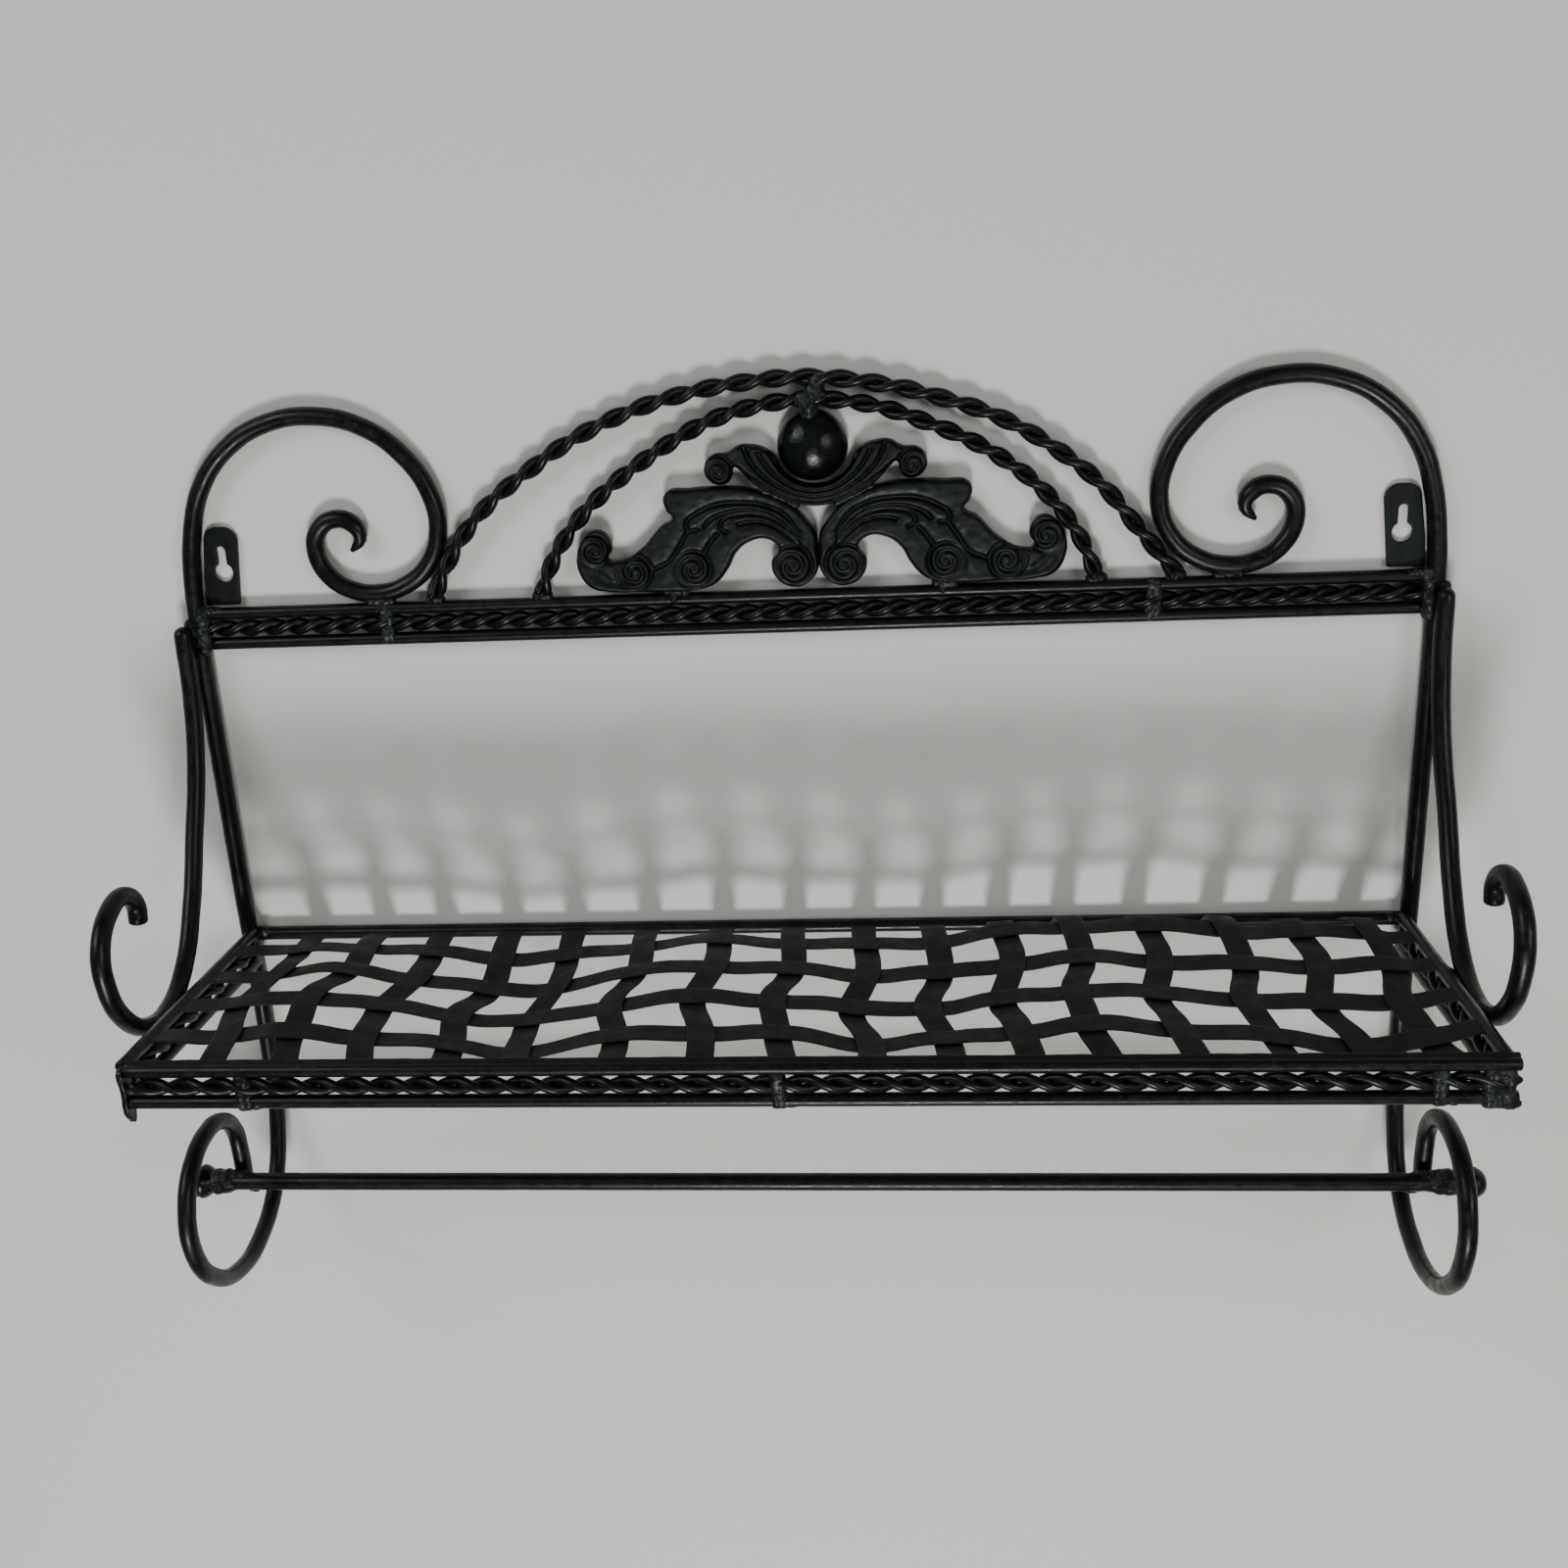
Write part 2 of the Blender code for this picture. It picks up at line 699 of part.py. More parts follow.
def add_corner_plate():
    """Closes the left end of the shelf's front band."""
    inner_x = FRONT_LEFT_END - GAP
    low = (inner_x - 2 * MM, FRONT_Y - BAND_RADIUS, SHELF_Z - BAND_SPACING - 4.5 * MM)
    high = (inner_x, FRONT_Y + BAND_RADIUS, SHELF_Z + BAND_RADIUS)
    add_box("front_left_corner_plate", low, high, ROD_PAINT)


add_side_rods()
add_braces()
add_bands()
add_slats()
add_rope("outer_arch", OUTER_ARCH, OUTER_ROPE_TURN)
add_rope("inner_arch", INNER_ARCH, INNER_ROPE_TURN)
add_ornament()
add_hanger_plates()
add_towel_bar()
add_ties()
add_corner_plate()
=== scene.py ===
"""Looks for a wrought iron wall shelf with a towel bar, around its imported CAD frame.

Metres, +Z up, +X to the right of someone facing the wall, +Y into the wall, whose face is y = 0.
Outlines are given as distance from the middle and height above the rail, in millimetres, as in the CAD.
"""

import math
from functools import partial

import bmesh
import bpy
import numpy as np
from mathutils import Matrix, Vector, geometry, noise


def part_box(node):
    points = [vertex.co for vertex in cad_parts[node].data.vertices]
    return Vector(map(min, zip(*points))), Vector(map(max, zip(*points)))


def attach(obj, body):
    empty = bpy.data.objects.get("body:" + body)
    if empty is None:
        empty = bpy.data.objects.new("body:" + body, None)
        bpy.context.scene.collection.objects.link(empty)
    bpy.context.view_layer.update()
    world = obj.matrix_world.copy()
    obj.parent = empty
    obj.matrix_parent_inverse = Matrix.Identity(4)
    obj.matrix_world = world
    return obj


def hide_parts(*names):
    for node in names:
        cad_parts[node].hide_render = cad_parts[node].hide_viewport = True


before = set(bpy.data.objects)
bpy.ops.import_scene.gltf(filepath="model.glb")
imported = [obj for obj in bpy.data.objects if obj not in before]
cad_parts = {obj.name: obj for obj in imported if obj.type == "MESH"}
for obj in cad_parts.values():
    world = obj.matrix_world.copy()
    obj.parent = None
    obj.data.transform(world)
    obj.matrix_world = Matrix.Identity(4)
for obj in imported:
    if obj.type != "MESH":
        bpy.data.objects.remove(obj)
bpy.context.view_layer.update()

MM = 0.001
TO_ROOM = Vector((0, -1, 0))
SIDES = ((-1, "left"), (1, "right"))


def middle_of(node):
    low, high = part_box(node)
    return (low + high) / 2


def size_of(node):
    low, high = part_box(node)
    return high - low


# Places and sizes read from the frame
RAIL = middle_of("rail_upper_rod")
RAIL_Z = RAIL.z
BAND_RADIUS = size_of("rail_upper_rod").z / 2
BAND_SPACING = RAIL_Z - middle_of("rail_lower_rod").z
BACK_ROD = middle_of("shelf_back_rod")
SHELF_Z = BACK_ROD.z
BACK_Y = BACK_ROD.y
FRONT_Y = middle_of("shelf_front_upper_rod").y
SHELF_DEPTH = BACK_Y - FRONT_Y
SHELF_HALF_WIDTH = middle_of("shelf_right_upper_rod").x
BAR = middle_of("towel_bar")
BAR_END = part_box("towel_bar")[1].x
HEAVY_RADIUS = size_of("towel_bar").z / 2
UPRIGHT_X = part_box("right_side_rod")[1].x - HEAVY_RADIUS
ORNAMENT_X = middle_of("cup").x
ORNAMENT_BACK_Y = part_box("ball")[1].y

# Two-strand ropes: the strands touch, and a rope nearly fills the gap between a band's two rods
STRAND_RADIUS = 2.1 * MM
RAIL_TURN = 24.3 * MM
SHELF_TURN = 29.5 * MM
OUTER_ROPE_TURN = 30.2 * MM
INNER_ROPE_TURN = 26.8 * MM
ROPE_Y = -6 * MM
ROPE_INSET = 2.5 * MM
ROPE_STEP = 1.6 * MM
ARCH_STEP = 1.5 * MM
STRAND_DENT = 0.05 * MM

# Side rod: the upper scroll from its tip, then the lower loop (distance from the wall, negative in front)
SCROLL = (
    (210, 28.5), (205.5, 34), (208.5, 41), (216.5, 43.5), (225, 39), (228, 28.5), (223, 16.5),
    (212, 9.2), (199, 7.6), (186, 11), (174, 20.5), (167.5, 36), (169.5, 54), (180, 71.5),
    (198, 85.5), (221, 91.3), (244, 88.7), (265, 77.5), (280, 59.5), (288, 37), (291, 17), (292, 0),
)
LOOP = (
    (-4.3, -120), (-4.3, -240), (-8, -276), (-24, -308), (-48, -322), (-75, -323), (-101, -309),
    (-115, -287), (-115, -264), (-103, -246), (-85, -239), (-68, -242), (-56.7, -253), (-54, -266),
    (-54, -287),
)
BRACE = (
    (-13.3, -8), (-15, -42), (-21, -75), (-31, -106), (-46, -137), (-64, -161), (-84, -172),
    (-104, -171), (-122, -159), (-132, -139), (-130.5, -120), (-118, -108), (-104, -106.5),
    (-95.5, -114.5), (-96, -122),
)
BRACE_SPREAD = 5.8 * MM
BRACE_SHIFT = -1.2 * MM
BRACE_SPREAD_END = 30 * MM

OUTER_ARCH = (
    (-172.5, 5.2), (-162, 24), (-144, 45.5), (-121, 62.5), (-99, 75.8), (-71.5, 87.3), (-43, 94.7),
    (-16, 98.3), (9, 99.2), (41, 95.3), (70, 87.6), (96.5, 77.7), (121, 63), (142, 45.7), (159, 25),
    (175.5, 5.2),
)
INNER_ARCH = (
    (-120, 5.2), (-113.5, 20), (-100.5, 38), (-85.5, 52), (-68.5, 64), (-50.5, 74.5), (-31.5, 83),
    (-9.5, 88), (10.5, 89.5), (28.5, 87.8), (45, 84), (63.5, 77), (83.5, 68), (99.5, 58), (114, 46),
    (125.5, 33), (133.5, 20), (139.5, 5.2),
)

# Cast ornament: distance from its own middle line and height above the rail
LEAF = (
    (11.5, 4.4), (20, 8.6), (22.2, 16.5), (18.8, 22.6), (23, 26.9), (31, 26.5), (37.8, 21.8),
    (42.4, 14), (48.6, 7.4), (58.5, 4.4), (87, 4.4), (99, 4.8), (108.2, 7.2), (113.2, 14.5),
    (113.6, 23), (109.4, 31), (103.8, 34), (98.4, 31), (97, 24.8), (99, 20.4), (93.5, 19.3),
    (83, 24.8), (73, 35), (67.5, 38.8), (70, 42), (70.2, 49.6), (57.5, 51.8), (45, 52.2),
    (33, 51.4), (22, 48.1), (13, 43.8), (5.5, 36.5), (0.8, 29), (0.3, 21), (0.3, 13), (4, 7.2),
)
CUP = (
    (0, 41.8), (12.4, 44.5), (22.5, 49), (27.3, 51.7), (30.4, 54.4), (34.2, 58.6), (37.2, 60.6),
    (38.2, 57), (40, 54), (44.6, 52.8), (49.9, 56.2), (50.8, 62.1), (46.9, 66.6), (40, 67.4),
    (34.5, 70.5), (29, 70.6), (22.6, 68.8), (17.9, 64.8), (15.8, 59.8), (9, 53.9), (0, 51.9),
)
# Grooves between the leaf's lobes, and the gouged channel along the tail of its outer curl
LEAF_GROOVES = (
    (
        (8.9, 30.2), (15.4, 38.6), (25.6, 43.3), (36.8, 44.6), (47.3, 43.7), (55.3, 40.5), (60.4, 36.4),
        (60, 33), (56, 32.7),
    ),
    ((9, 27.6), (16.5, 34.8), (25.8, 39.9), (35.2, 41.1), (42.3, 40), (48.5, 37.7), (52.2, 34.4)),
    (
        (8.3, 24.1), (12.4, 30.3), (19.9, 36.2), (28.4, 39.1), (37.1, 39), (43.3, 37.1), (44.9, 33.2),
        (41.9, 31),
    ),
    ((6, 17.9), (9.2, 24.1), (15, 29.6), (21.7, 34.1), (30.3, 35.7), (36.5, 34.7)),
    ((60.2, 32), (64.2, 26.1), (69.1, 19.2), (77.3, 15.1)),
    ((46.3, 30.7), (50.1, 26.5), (53, 22.2)),
)
LEAF_CHANNEL = ((93, 8.5), (100, 10.5), (105.5, 15))
CUP_GROOVES = (
    ((0, 51.2), (7, 52.6), (13, 56.5), (17.5, 62), (20.5, 67)),
    ((0, 48.6), (8, 50), (15.5, 54.2), (21.5, 60), (25.5, 66.5)),
    ((0, 46), (9, 47.6), (18, 51.8), (25, 57.5), (30, 64), (32, 69)),
    ((0, 44), (10, 45.8), (20, 50), (28, 54.5), (36, 59.5), (40, 61.5)),
)
# Spiral bosses: distance from the middle line, height, radius, and which way they wind
LEAF_VOLUTES = (
    (12.2, 14.4, 9.4, -1), (58.7, 14.6, 8.4, -1), (86.6, 14.2, 8.4, 1), (104.6, 24.6, 7.6, -1),
)
CUP_VOLUTES = ((44.2, 59.2, 6.8, -1),)
VOLUTE_TURNS = 2.1
# Thickness, thickness of the edge, and the width over which the edge is rounded
LEAF_SECTION = (7.2 * MM, 3.4 * MM, 2.6 * MM)
CUP_SECTION = (8.4 * MM, 4.0 * MM, 2.2 * MM)
# Where a volute's eye, rim and moat are, as shares of its radius
VOLUTE_EYE = 0.2
VOLUTE_RIM = 1.06
RIM_FADE = 0.12
MOAT_AT = 1.02
MOAT_REACH = 0.9
# Depth and reach of the marks pressed in, and how far round a groove the dry-brushing and painted highlight
# are missing, which leaves painted shade in the groove
GROOVE = (1.5 * MM, 0.85 * MM)
VALLEY = (0.7 * MM, 2.2 * MM)
CHANNEL = (1.6 * MM, 2.4 * MM)
BARE_REACH = 1.3 * MM
# Heights and depths of the volutes, and of the casting's unevenness
VOLUTE_DOME = 0.6 * MM
VOLUTE_DEPTH = 1.5 * MM
MOAT_DEPTH = 1.2 * MM
CAST_DENT = 0.22 * MM
CAST_DENTS_PER_METRE = 260
CAST_VOXEL = 0.5 * MM

# Hanger plate, with heights above the rail, and its keyhole, with heights above the screw at z = 0
PLATE_SIDE = ((270.5, 3.6), (287.6, 3.6), (286.6, 17))
PLATE_TOP_CORNERS = (267.3, 284)
PLATE_TOP = 41.4
PLATE_CORNER_RADIUS = 7
KEYHOLE_X = 276.2
KEYHOLE_Z = -12.6
KEYHOLE_RADIUS = 4.5
KEYHOLE_SLOT_RADIUS = 2.15

# Corner plate: distance from the front rod's axis towards the room, and height above that axis
CORNER_PLATE = (
    (-3.2, 3.2), (-3.6, -4), (-3.4, -12), (-3.6, -17.5), (-2.4, -20.5), (-0.6, -22.6), (0.8, -21),
    (2.4, -18.8), (3.4, -16), (3.2, -8), (3.6, -2), (3.2, 3.2), (0, 3.9),
)

# Finial: radius and distance from where it starts on the bar
FINIAL_PROFILE = (
    (0, -1.5), (4.9, -1.2), (5.2, 0.6), (4.7, 2.2), (4.8, 4.2), (6.4, 7.2), (8.0, 9.8), (8.3, 11.6),
    (7.3, 12.6), (7.7, 14.2), (6.6, 17.2), (3.6, 19.9), (0, 20.5),
)

# The bead along the front rod, behind and above its axis
SEAM_RADIUS = 1.6 * MM
SEAM_BACK = 2 * MM
SEAM_UP = 2.4 * MM
SEAM_STEP = 3 * MM
SEAM_DENT = 0.25 * MM

# Woven slats
SLAT_WIDTH = 12.2 * MM
SLAT_THICKNESS = 0.9 * MM
SLAT_STEP = 1.8 * MM
SLAT_WANDER = 0.25 * MM
SLAT_WIDTH_CHANGE = 0.02
WEAVE_LIFT = 0.75 * MM
CROSSING_REACH = 7 * MM
END_REACH = 2 * MM
# How far short of the side and back rods' axes the slats end, and how deep in the front rod
SIDE_INSET = 0.6 * MM
BACK_INSET = 2.6 * MM
FRONT_INSET = 0.6 * MM
# How far above the side rods' tops, and above the other rods' axes, they end
SIDE_LIFT = 0.05 * MM
BACK_LIFT = 0.8 * MM
FRONT_LIFT = 0.5 * MM
LONG_SLATS = 4
CROSS_SLAT_X = (-254, -220, -187, -152, -119, -81, -43, -7, 28, 62, 95, 127, 162, 200, 233, 266)
# From back to front a cross slat leans by its distance from LEAN_START times CROSS_SLAT_LEAN
CROSS_SLAT_LEAN = 0.014
LEAN_START = -150 * MM
# Sideways bends that all cross slats share: share of the depth from the back, shift, reach as a share
SWAYS = ((0.36, 3, 0.17), (0.6, -5, 0.12), (1.0, 4, 0.16))
# Each cross slat's own sideways bend
CROSS_SLAT_BEND = (2.5, -2.5, -3, 0, -3.5, 2.5, 2, -1, 4, 2.5, 0, -3, -1, 0.5, 3, -2.5)
BEND_SHARE = 0.82
BEND_REACH = 0.12
# Hills and hollows beaten into the woven surface: x, share of the depth from the back, height, reach
BULGES = (
    (-230, 0.5, 6, 29), (-138, 0.45, -7, 32), (-119, 0.9, -6, 32), (-50, 0.35, 5, 31),
    (-3, 0.25, 2, 27), (33, 0.8, -5.5, 23), (68, 0.65, -3, 17), (114, 0.05, 9, 53),
    (133, 0.65, 4, 27), (181, -0.05, 10.5, 38), (238, 1.05, -12, 38), (253, -0.05, 7.5, 34),
)
BULGE_DEPTH_REACH = 0.38
SURFACE_RISE = 2 * MM
EDGE_FADE = 13 * MM

# The welds are laid out in millimetres, with heights above the rail
FACE = RAIL.y / MM
SHELF_UP = (SHELF_Z - RAIL_Z) / MM
DROP = BAND_SPACING / MM
FRONT = FRONT_Y / MM
SIDE_X = SHELF_HALF_WIDTH / MM
UPRIGHT = UPRIGHT_X / MM
HEAVY = HEAVY_RADIUS / MM
BAR_UP = (BAR.z - RAIL_Z) / MM
# A tie's weld: the lumps' radius and number
TIE_LUMPS = (2.7, 10)

# Paint colours
ROD_BLACK = (0.0022, 0.0026, 0.0026)
ROD_COOL = (0.022, 0.030, 0.031)
ROD_GREEN = (0.020, 0.034, 0.022)
ROD_FLECK = (0.09, 0.11, 0.115)
SLAT_DARK = (0.0078, 0.0068, 0.0056)
SLAT_LIGHT = (0.0122, 0.0108, 0.0090)
SLAT_GRAIN = (0.018, 0.0162, 0.014)
SLAT_WORN = (0.026, 0.025, 0.023)
# The casting's black, and its blue-grey, which is partly dry-brushing and partly a painted highlight on
# what stands proud
CAST_HOLLOW = (0.0012, 0.0016, 0.0017)
CAST_BRUSHED_HIGHLIGHT = (0.0088, 0.0165, 0.0184)
WELD_BLACK = (0.0035, 0.0044, 0.0045)
WELD_RUBBED = (0.040, 0.053, 0.056)
WALL_PALE = (0.80, 0.765, 0.715)


# ---- materials


class Paint:
    """Node helper for one painted finish."""

    def __init__(self, name):
        self.material = bpy.data.materials.new(name)
        self.material.use_nodes = True
        self.tree = self.material.node_tree
        self.shader = self.tree.nodes["Principled BSDF"]
        self.coordinates = self.node("ShaderNodeTexCoord").outputs["Object"]

    def node(self, kind, **settings):
        made = self.tree.nodes.new(kind)
        for key, value in settings.items():
            setattr(made, key, value)
        return made

    def link(self, source, target):
        self.tree.links.new(source, target)

    def noise(self, size, detail=3, roughness=0.55):
        """Noise whose features are about size metres across."""
        made = self.node("ShaderNodeTexNoise")
        made.inputs["Scale"].default_value = 1 / size
        made.inputs["Detail"].default_value = detail
        made.inputs["Roughness"].default_value = roughness
        self.link(self.coordinates, made.inputs["Vector"])
        return made.outputs["Fac"]

    def patches(self, size, low, high, to_low=0.0, to_high=1.0, **settings):
        """Noise mapped so that low becomes to_low and high becomes to_high, held inside them."""
        made = self.node("ShaderNodeMapRange")
        made.interpolation_type = "SMOOTHSTEP"
        ends = {"From Min": low, "From Max": high, "To Min": to_low, "To Max": to_high}
        for socket, number in ends.items():
            made.inputs[socket].default_value = number
        self.link(self.noise(size, **settings), made.inputs["Value"])
        return made.outputs["Result"]

    def math(self, operation, first, second):
        made = self.node("ShaderNodeMath", operation=operation)
        for socket, value in zip(made.inputs, (first, second)):
            if isinstance(value, float):
                socket.default_value = value
            else:
                self.link(value, socket)
        return made.outputs["Value"]

    def mix(self, share, first, second):
        """first where share is 0 and second where it is 1; each is a colour or a socket."""
        made = self.node("ShaderNodeMix", data_type="RGBA")
        self.link(share, made.inputs["Factor"])
        for socket, value in ((made.inputs[6], first), (made.inputs[7], second)):
            if isinstance(value, tuple):
                socket.default_value = (*value, 1)
            else:
                self.link(value, socket)
        return made.outputs[2]

    def attribute(self, name):
        return self.node("ShaderNodeAttribute", attribute_name=name).outputs["Fac"]

    def finish(self, colour, roughness, heights, specular, coat=0.0, coat_roughness=0.2):
        """heights lists bumps pressed on top of each other: noise size and detail, depth in millimetres."""
        self.link(colour, self.shader.inputs["Base Color"])
        self.link(roughness, self.shader.inputs["Roughness"])
        self.shader.inputs["Specular IOR Level"].default_value = specular
        self.shader.inputs["Coat Weight"].default_value = coat
        self.shader.inputs["Coat Roughness"].default_value = coat_roughness
        normal = None
        for size, detail, depth in heights:
            bump = self.node("ShaderNodeBump")
            bump.inputs["Strength"].default_value = 1.0
            bump.inputs["Distance"].default_value = depth * MM
            self.link(self.noise(size * MM, detail=detail), bump.inputs["Height"])
            if normal:
                self.link(normal, bump.inputs["Normal"])
            normal = bump.outputs["Normal"]
        self.link(normal, self.shader.inputs["Normal"])
        return self.material


def rod_paint():
    """Semi-gloss black over drawn rod, with thin cool dry-brushing and a little green in places."""
    paint = Paint("rod_paint")
    patches = paint.patches(34 * MM, 0.5, 0.68, detail=2)
    brush = paint.patches(2.2 * MM, 0.5, 0.74, detail=5, roughness=0.7)
    flecks = paint.patches(0.9 * MM, 0.68, 0.76, detail=2)
    green = paint.patches(90 * MM, 0.56, 0.7, detail=1)
    cool = paint.mix(green, ROD_COOL, ROD_GREEN)
    colour = paint.mix(paint.math("MULTIPLY", patches, brush), ROD_BLACK, cool)
    colour = paint.mix(paint.math("MULTIPLY", flecks, 0.5), colour, ROD_FLECK)
    rough = paint.patches(5 * MM, 0.3, 0.7, 0.27, 0.46, detail=4)
    rough = paint.math("ADD", rough, paint.math("MULTIPLY", brush, 0.10))
    heights = ((3.5, 2, 0.10), (0.6, 2, 0.018))
    return paint.finish(colour, rough, heights, specular=0.26, coat=0.06, coat_roughness=0.22)


def slat_paint():
    """Matt brown-black over strip, rubbed a little lighter along the strip's edges."""
    paint = Paint("slat_paint")
    patches = paint.patches(22 * MM, 0.35, 0.7)
    grain = paint.patches(1.3 * MM, 0.4, 0.72, detail=4, roughness=0.7)
    edge = paint.attribute("edge")
    colour = paint.mix(patches, SLAT_DARK, SLAT_LIGHT)
    colour = paint.mix(paint.math("MULTIPLY", grain, 0.4), colour, SLAT_GRAIN)
    worn = paint.math("MULTIPLY", edge, paint.patches(4 * MM, 0.3, 0.7, 0.2, 0.9))
    colour = paint.mix(worn, colour, SLAT_WORN)
    rough = paint.patches(7 * MM, 0.3, 0.7, 0.50, 0.66, detail=4)
    heights = ((9, 2, 0.22), (0.7, 2, 0.02))
    return paint.finish(colour, rough, heights, specular=0.2)


def cast_paint():
    """Satin black over a casting; the blue-grey on whatever stands proud is partly dry-brushing and partly
    a painted highlight, and the bare black in grooves and at the rim is partly painted shade.
    """
    paint = Paint("cast_paint")
    relief = paint.attribute("relief")
    brush = paint.patches(1.6 * MM, 0.32, 0.72, 0.25, 1.0, detail=5, roughness=0.7)
    patches = paint.patches(16 * MM, 0.35, 0.65, 0.35, 1.0, detail=2)
    # relief: dry-brushing that is partly a painted highlight on what stands proud, missing in grooves and
    # at the rim as painted shade
    proud = paint.math("MULTIPLY", paint.math("MULTIPLY", relief, brush), patches)
    colour = paint.mix(proud, CAST_HOLLOW, CAST_BRUSHED_HIGHLIGHT)
    rough = paint.patches(4 * MM, 0.3, 0.7, 0.38, 0.56, detail=4)
    rough = paint.math("SUBTRACT", rough, paint.math("MULTIPLY", paint.attribute("polish"), 0.24))
    heights = ((2.4, 3, 0.16), (0.5, 2, 0.035))
    return paint.finish(colour, rough, heights, specular=0.24, coat=0.04, coat_roughness=0.3)


def weld_paint():
    """Paint thick over weld, rubbed to blue-grey on its lumps."""
    paint = Paint("weld_paint")
    brush = paint.patches(1.5 * MM, 0.42, 0.66, detail=4, roughness=0.7)
    patches = paint.patches(12 * MM, 0.4, 0.62, 0.1, 1.0, detail=2)
    colour = paint.mix(paint.math("MULTIPLY", brush, patches), WELD_BLACK, WELD_RUBBED)
    rough = paint.patches(2 * MM, 0.3, 0.7, 0.32, 0.5)
    heights = ((1.6, 3, 0.25), (0.5, 2, 0.04))
    return paint.finish(colour, rough, heights, specular=0.24, coat=0.04, coat_roughness=0.3)


# ---- mesh tools

PLACES_PER_SPAN = 24
ROD_STEP = 6 * MM
BEND_STEP = 2.2 * MM
HEAVY_DENT = 0.10 * MM
BAND_DENT = 0.07 * MM
DENTS_PER_METRE = 130
CAP_ANGLES = (22, 45, 66, 82)
SCROLL_TIP_SHARE = 0.28
SCROLL_TAPER = 14 * MM


def add_object(name, data):
    obj = bpy.data.objects.new(name, data)
    bpy.context.scene.collection.objects.link(obj)
    return obj


def add_piece(name, shape, material, replaced=(), attributes=None):
    """A visible piece of shape, which is (verts, faces), in place of the nodes in replaced."""
    verts, faces = shape
    mesh = bpy.data.meshes.new(name)
    mesh.from_pydata([tuple(vert) for vert in verts], [], faces)
    mesh.validate()
    for key, values in (attributes or {}).items():
        layer = mesh.attributes.new(key, "FLOAT", "POINT")
        layer.data.foreach_set("value", np.asarray(values, np.float32))
    mesh.materials.append(material)
    mesh.shade_smooth()
    obj = add_object(name, mesh)
    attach(obj, "root")
    if replaced:
        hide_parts(*replaced)


def add_looks(node, shape, material, attributes=None):
    """The visible piece of one CAD node."""
    add_piece(f"{node}_looks", shape, material, [node], attributes)


def smooth_path(points, step):
    """Places about step apart on the smooth curve that Blender draws through points."""
    curve = bpy.data.curves.new("guide", "CURVE")
    curve.dimensions = "3D"
    spline = curve.splines.new("BEZIER")
    spline.bezier_points.add(len(points) - 1)
    for bezier_point, point in zip(spline.bezier_points, points):
        bezier_point.co = point
        bezier_point.handle_left_type = "AUTO"
        bezier_point.handle_right_type = "AUTO"
    fine = []
    for first, second in zip(spline.bezier_points, spline.bezier_points[1:]):
        ends = (first.co, first.handle_right, second.handle_left, second.co)
        fine += [place.copy() for place in geometry.interpolate_bezier(*ends, PLACES_PER_SPAN)[:-1]]
    fine.append(spline.bezier_points[-1].co.copy())
    bpy.data.curves.remove(curve)
    return even_path(fine, step)


def even_path(fine, step):
    """Places spaced evenly, about step apart, along the straight runs through fine."""
    lengths = np.r_[0, np.cumsum([(b - a).length for a, b in zip(fine, fine[1:])])]
    count = max(2, round(lengths[-1] / step) + 1)
    wanted = np.linspace(0, lengths[-1], count)
    columns = [np.interp(wanted, lengths, [place[axis] for place in fine]) for axis in range(3)]
    return [Vector(place) for place in zip(*columns)]


def frames_along(path, side):
    """(along, side, up) at each place; side starts as given and is carried on without twisting."""
    result = []
    last = len(path) - 1
    for number in range(last + 1):
        along = (path[min(number + 1, last)] - path[max(number - 1, 0)]).normalized()
        side = (side - side.dot(along) * along).normalized()
        result.append((along, side, side.cross(along)))
    return result


def skin(rings, sides, start=0, flipped=False, closed=True):
    """Quads between rings of sides places each, from index start, and a face over each end if closed."""
    faces = []
    for ring in range(rings - 1):
        for corner in range(sides):
            a = start + ring * sides + corner
            b = start + ring * sides + (corner + 1) % sides
            faces.append((a, b, b + sides, a + sides) if flipped else (a, a + sides, b + sides, b))
    if closed:
        caps = (tuple(range(sides)), tuple(reversed(range((rings - 1) * sides, rings * sides))))
        faces += [cap[::-1] if flipped else cap for cap in caps]
    return faces


def tube_mesh(path, radius, sides=18, side=TO_ROOM, shares=None, dent=0.0, seed=0.0, round_ends=(0.6, 0.6)):
    """(verts, faces) of a closed rod along path.

    shares scales the radius at each place, dent is the depth of its unevenness, and round_ends says how
    far each end bulges out, in radii."""
    frames = frames_along(path, side)
    shares = shares or [1.0] * len(path)
    rings = []
    for place, (_, across, up), share in zip(path, frames, shares):
        rings.append((place, across, up, radius * share))
    caps = []
    for end, sign, bulge in ((0, -1, round_ends[0]), (-1, 1, round_ends[1])):
        place, across, up, size = rings[end]
        along = frames[end][0] * sign
        extra = []
        for angle in CAP_ANGLES:
            turn = math.radians(angle)
            centre = place + along * size * bulge * math.sin(turn)
            extra.append((centre, across, up, size * math.cos(turn)))
        caps.append(extra)
    rings = caps[0][::-1] + rings + caps[1]
    verts = []
    for place, across, up, size in rings:
        for corner in range(sides):
            angle = 2 * math.pi * corner / sides
            out = math.cos(angle) * across + math.sin(angle) * up
            sample = (place + out * size) * DENTS_PER_METRE + Vector((seed, 0, 0))
            verts.append(place + out * (size + dent * noise.noise(sample)))
    return verts, skin(len(rings), sides)


def joined(meshes):
    """Several (verts, faces) as one."""
    verts, faces = [], []
    for more_verts, more_faces in meshes:
        start = len(verts)
        verts += more_verts
        faces += [tuple(start + index for index in face) for face in more_faces]
    return verts, faces


def on_frame(outline, y, side=1):
    """An outline's points as places at depth y, mirrored where side is -1."""
    return [Vector((side * x * MM, y, RAIL_Z + z * MM)) for x, z in outline]


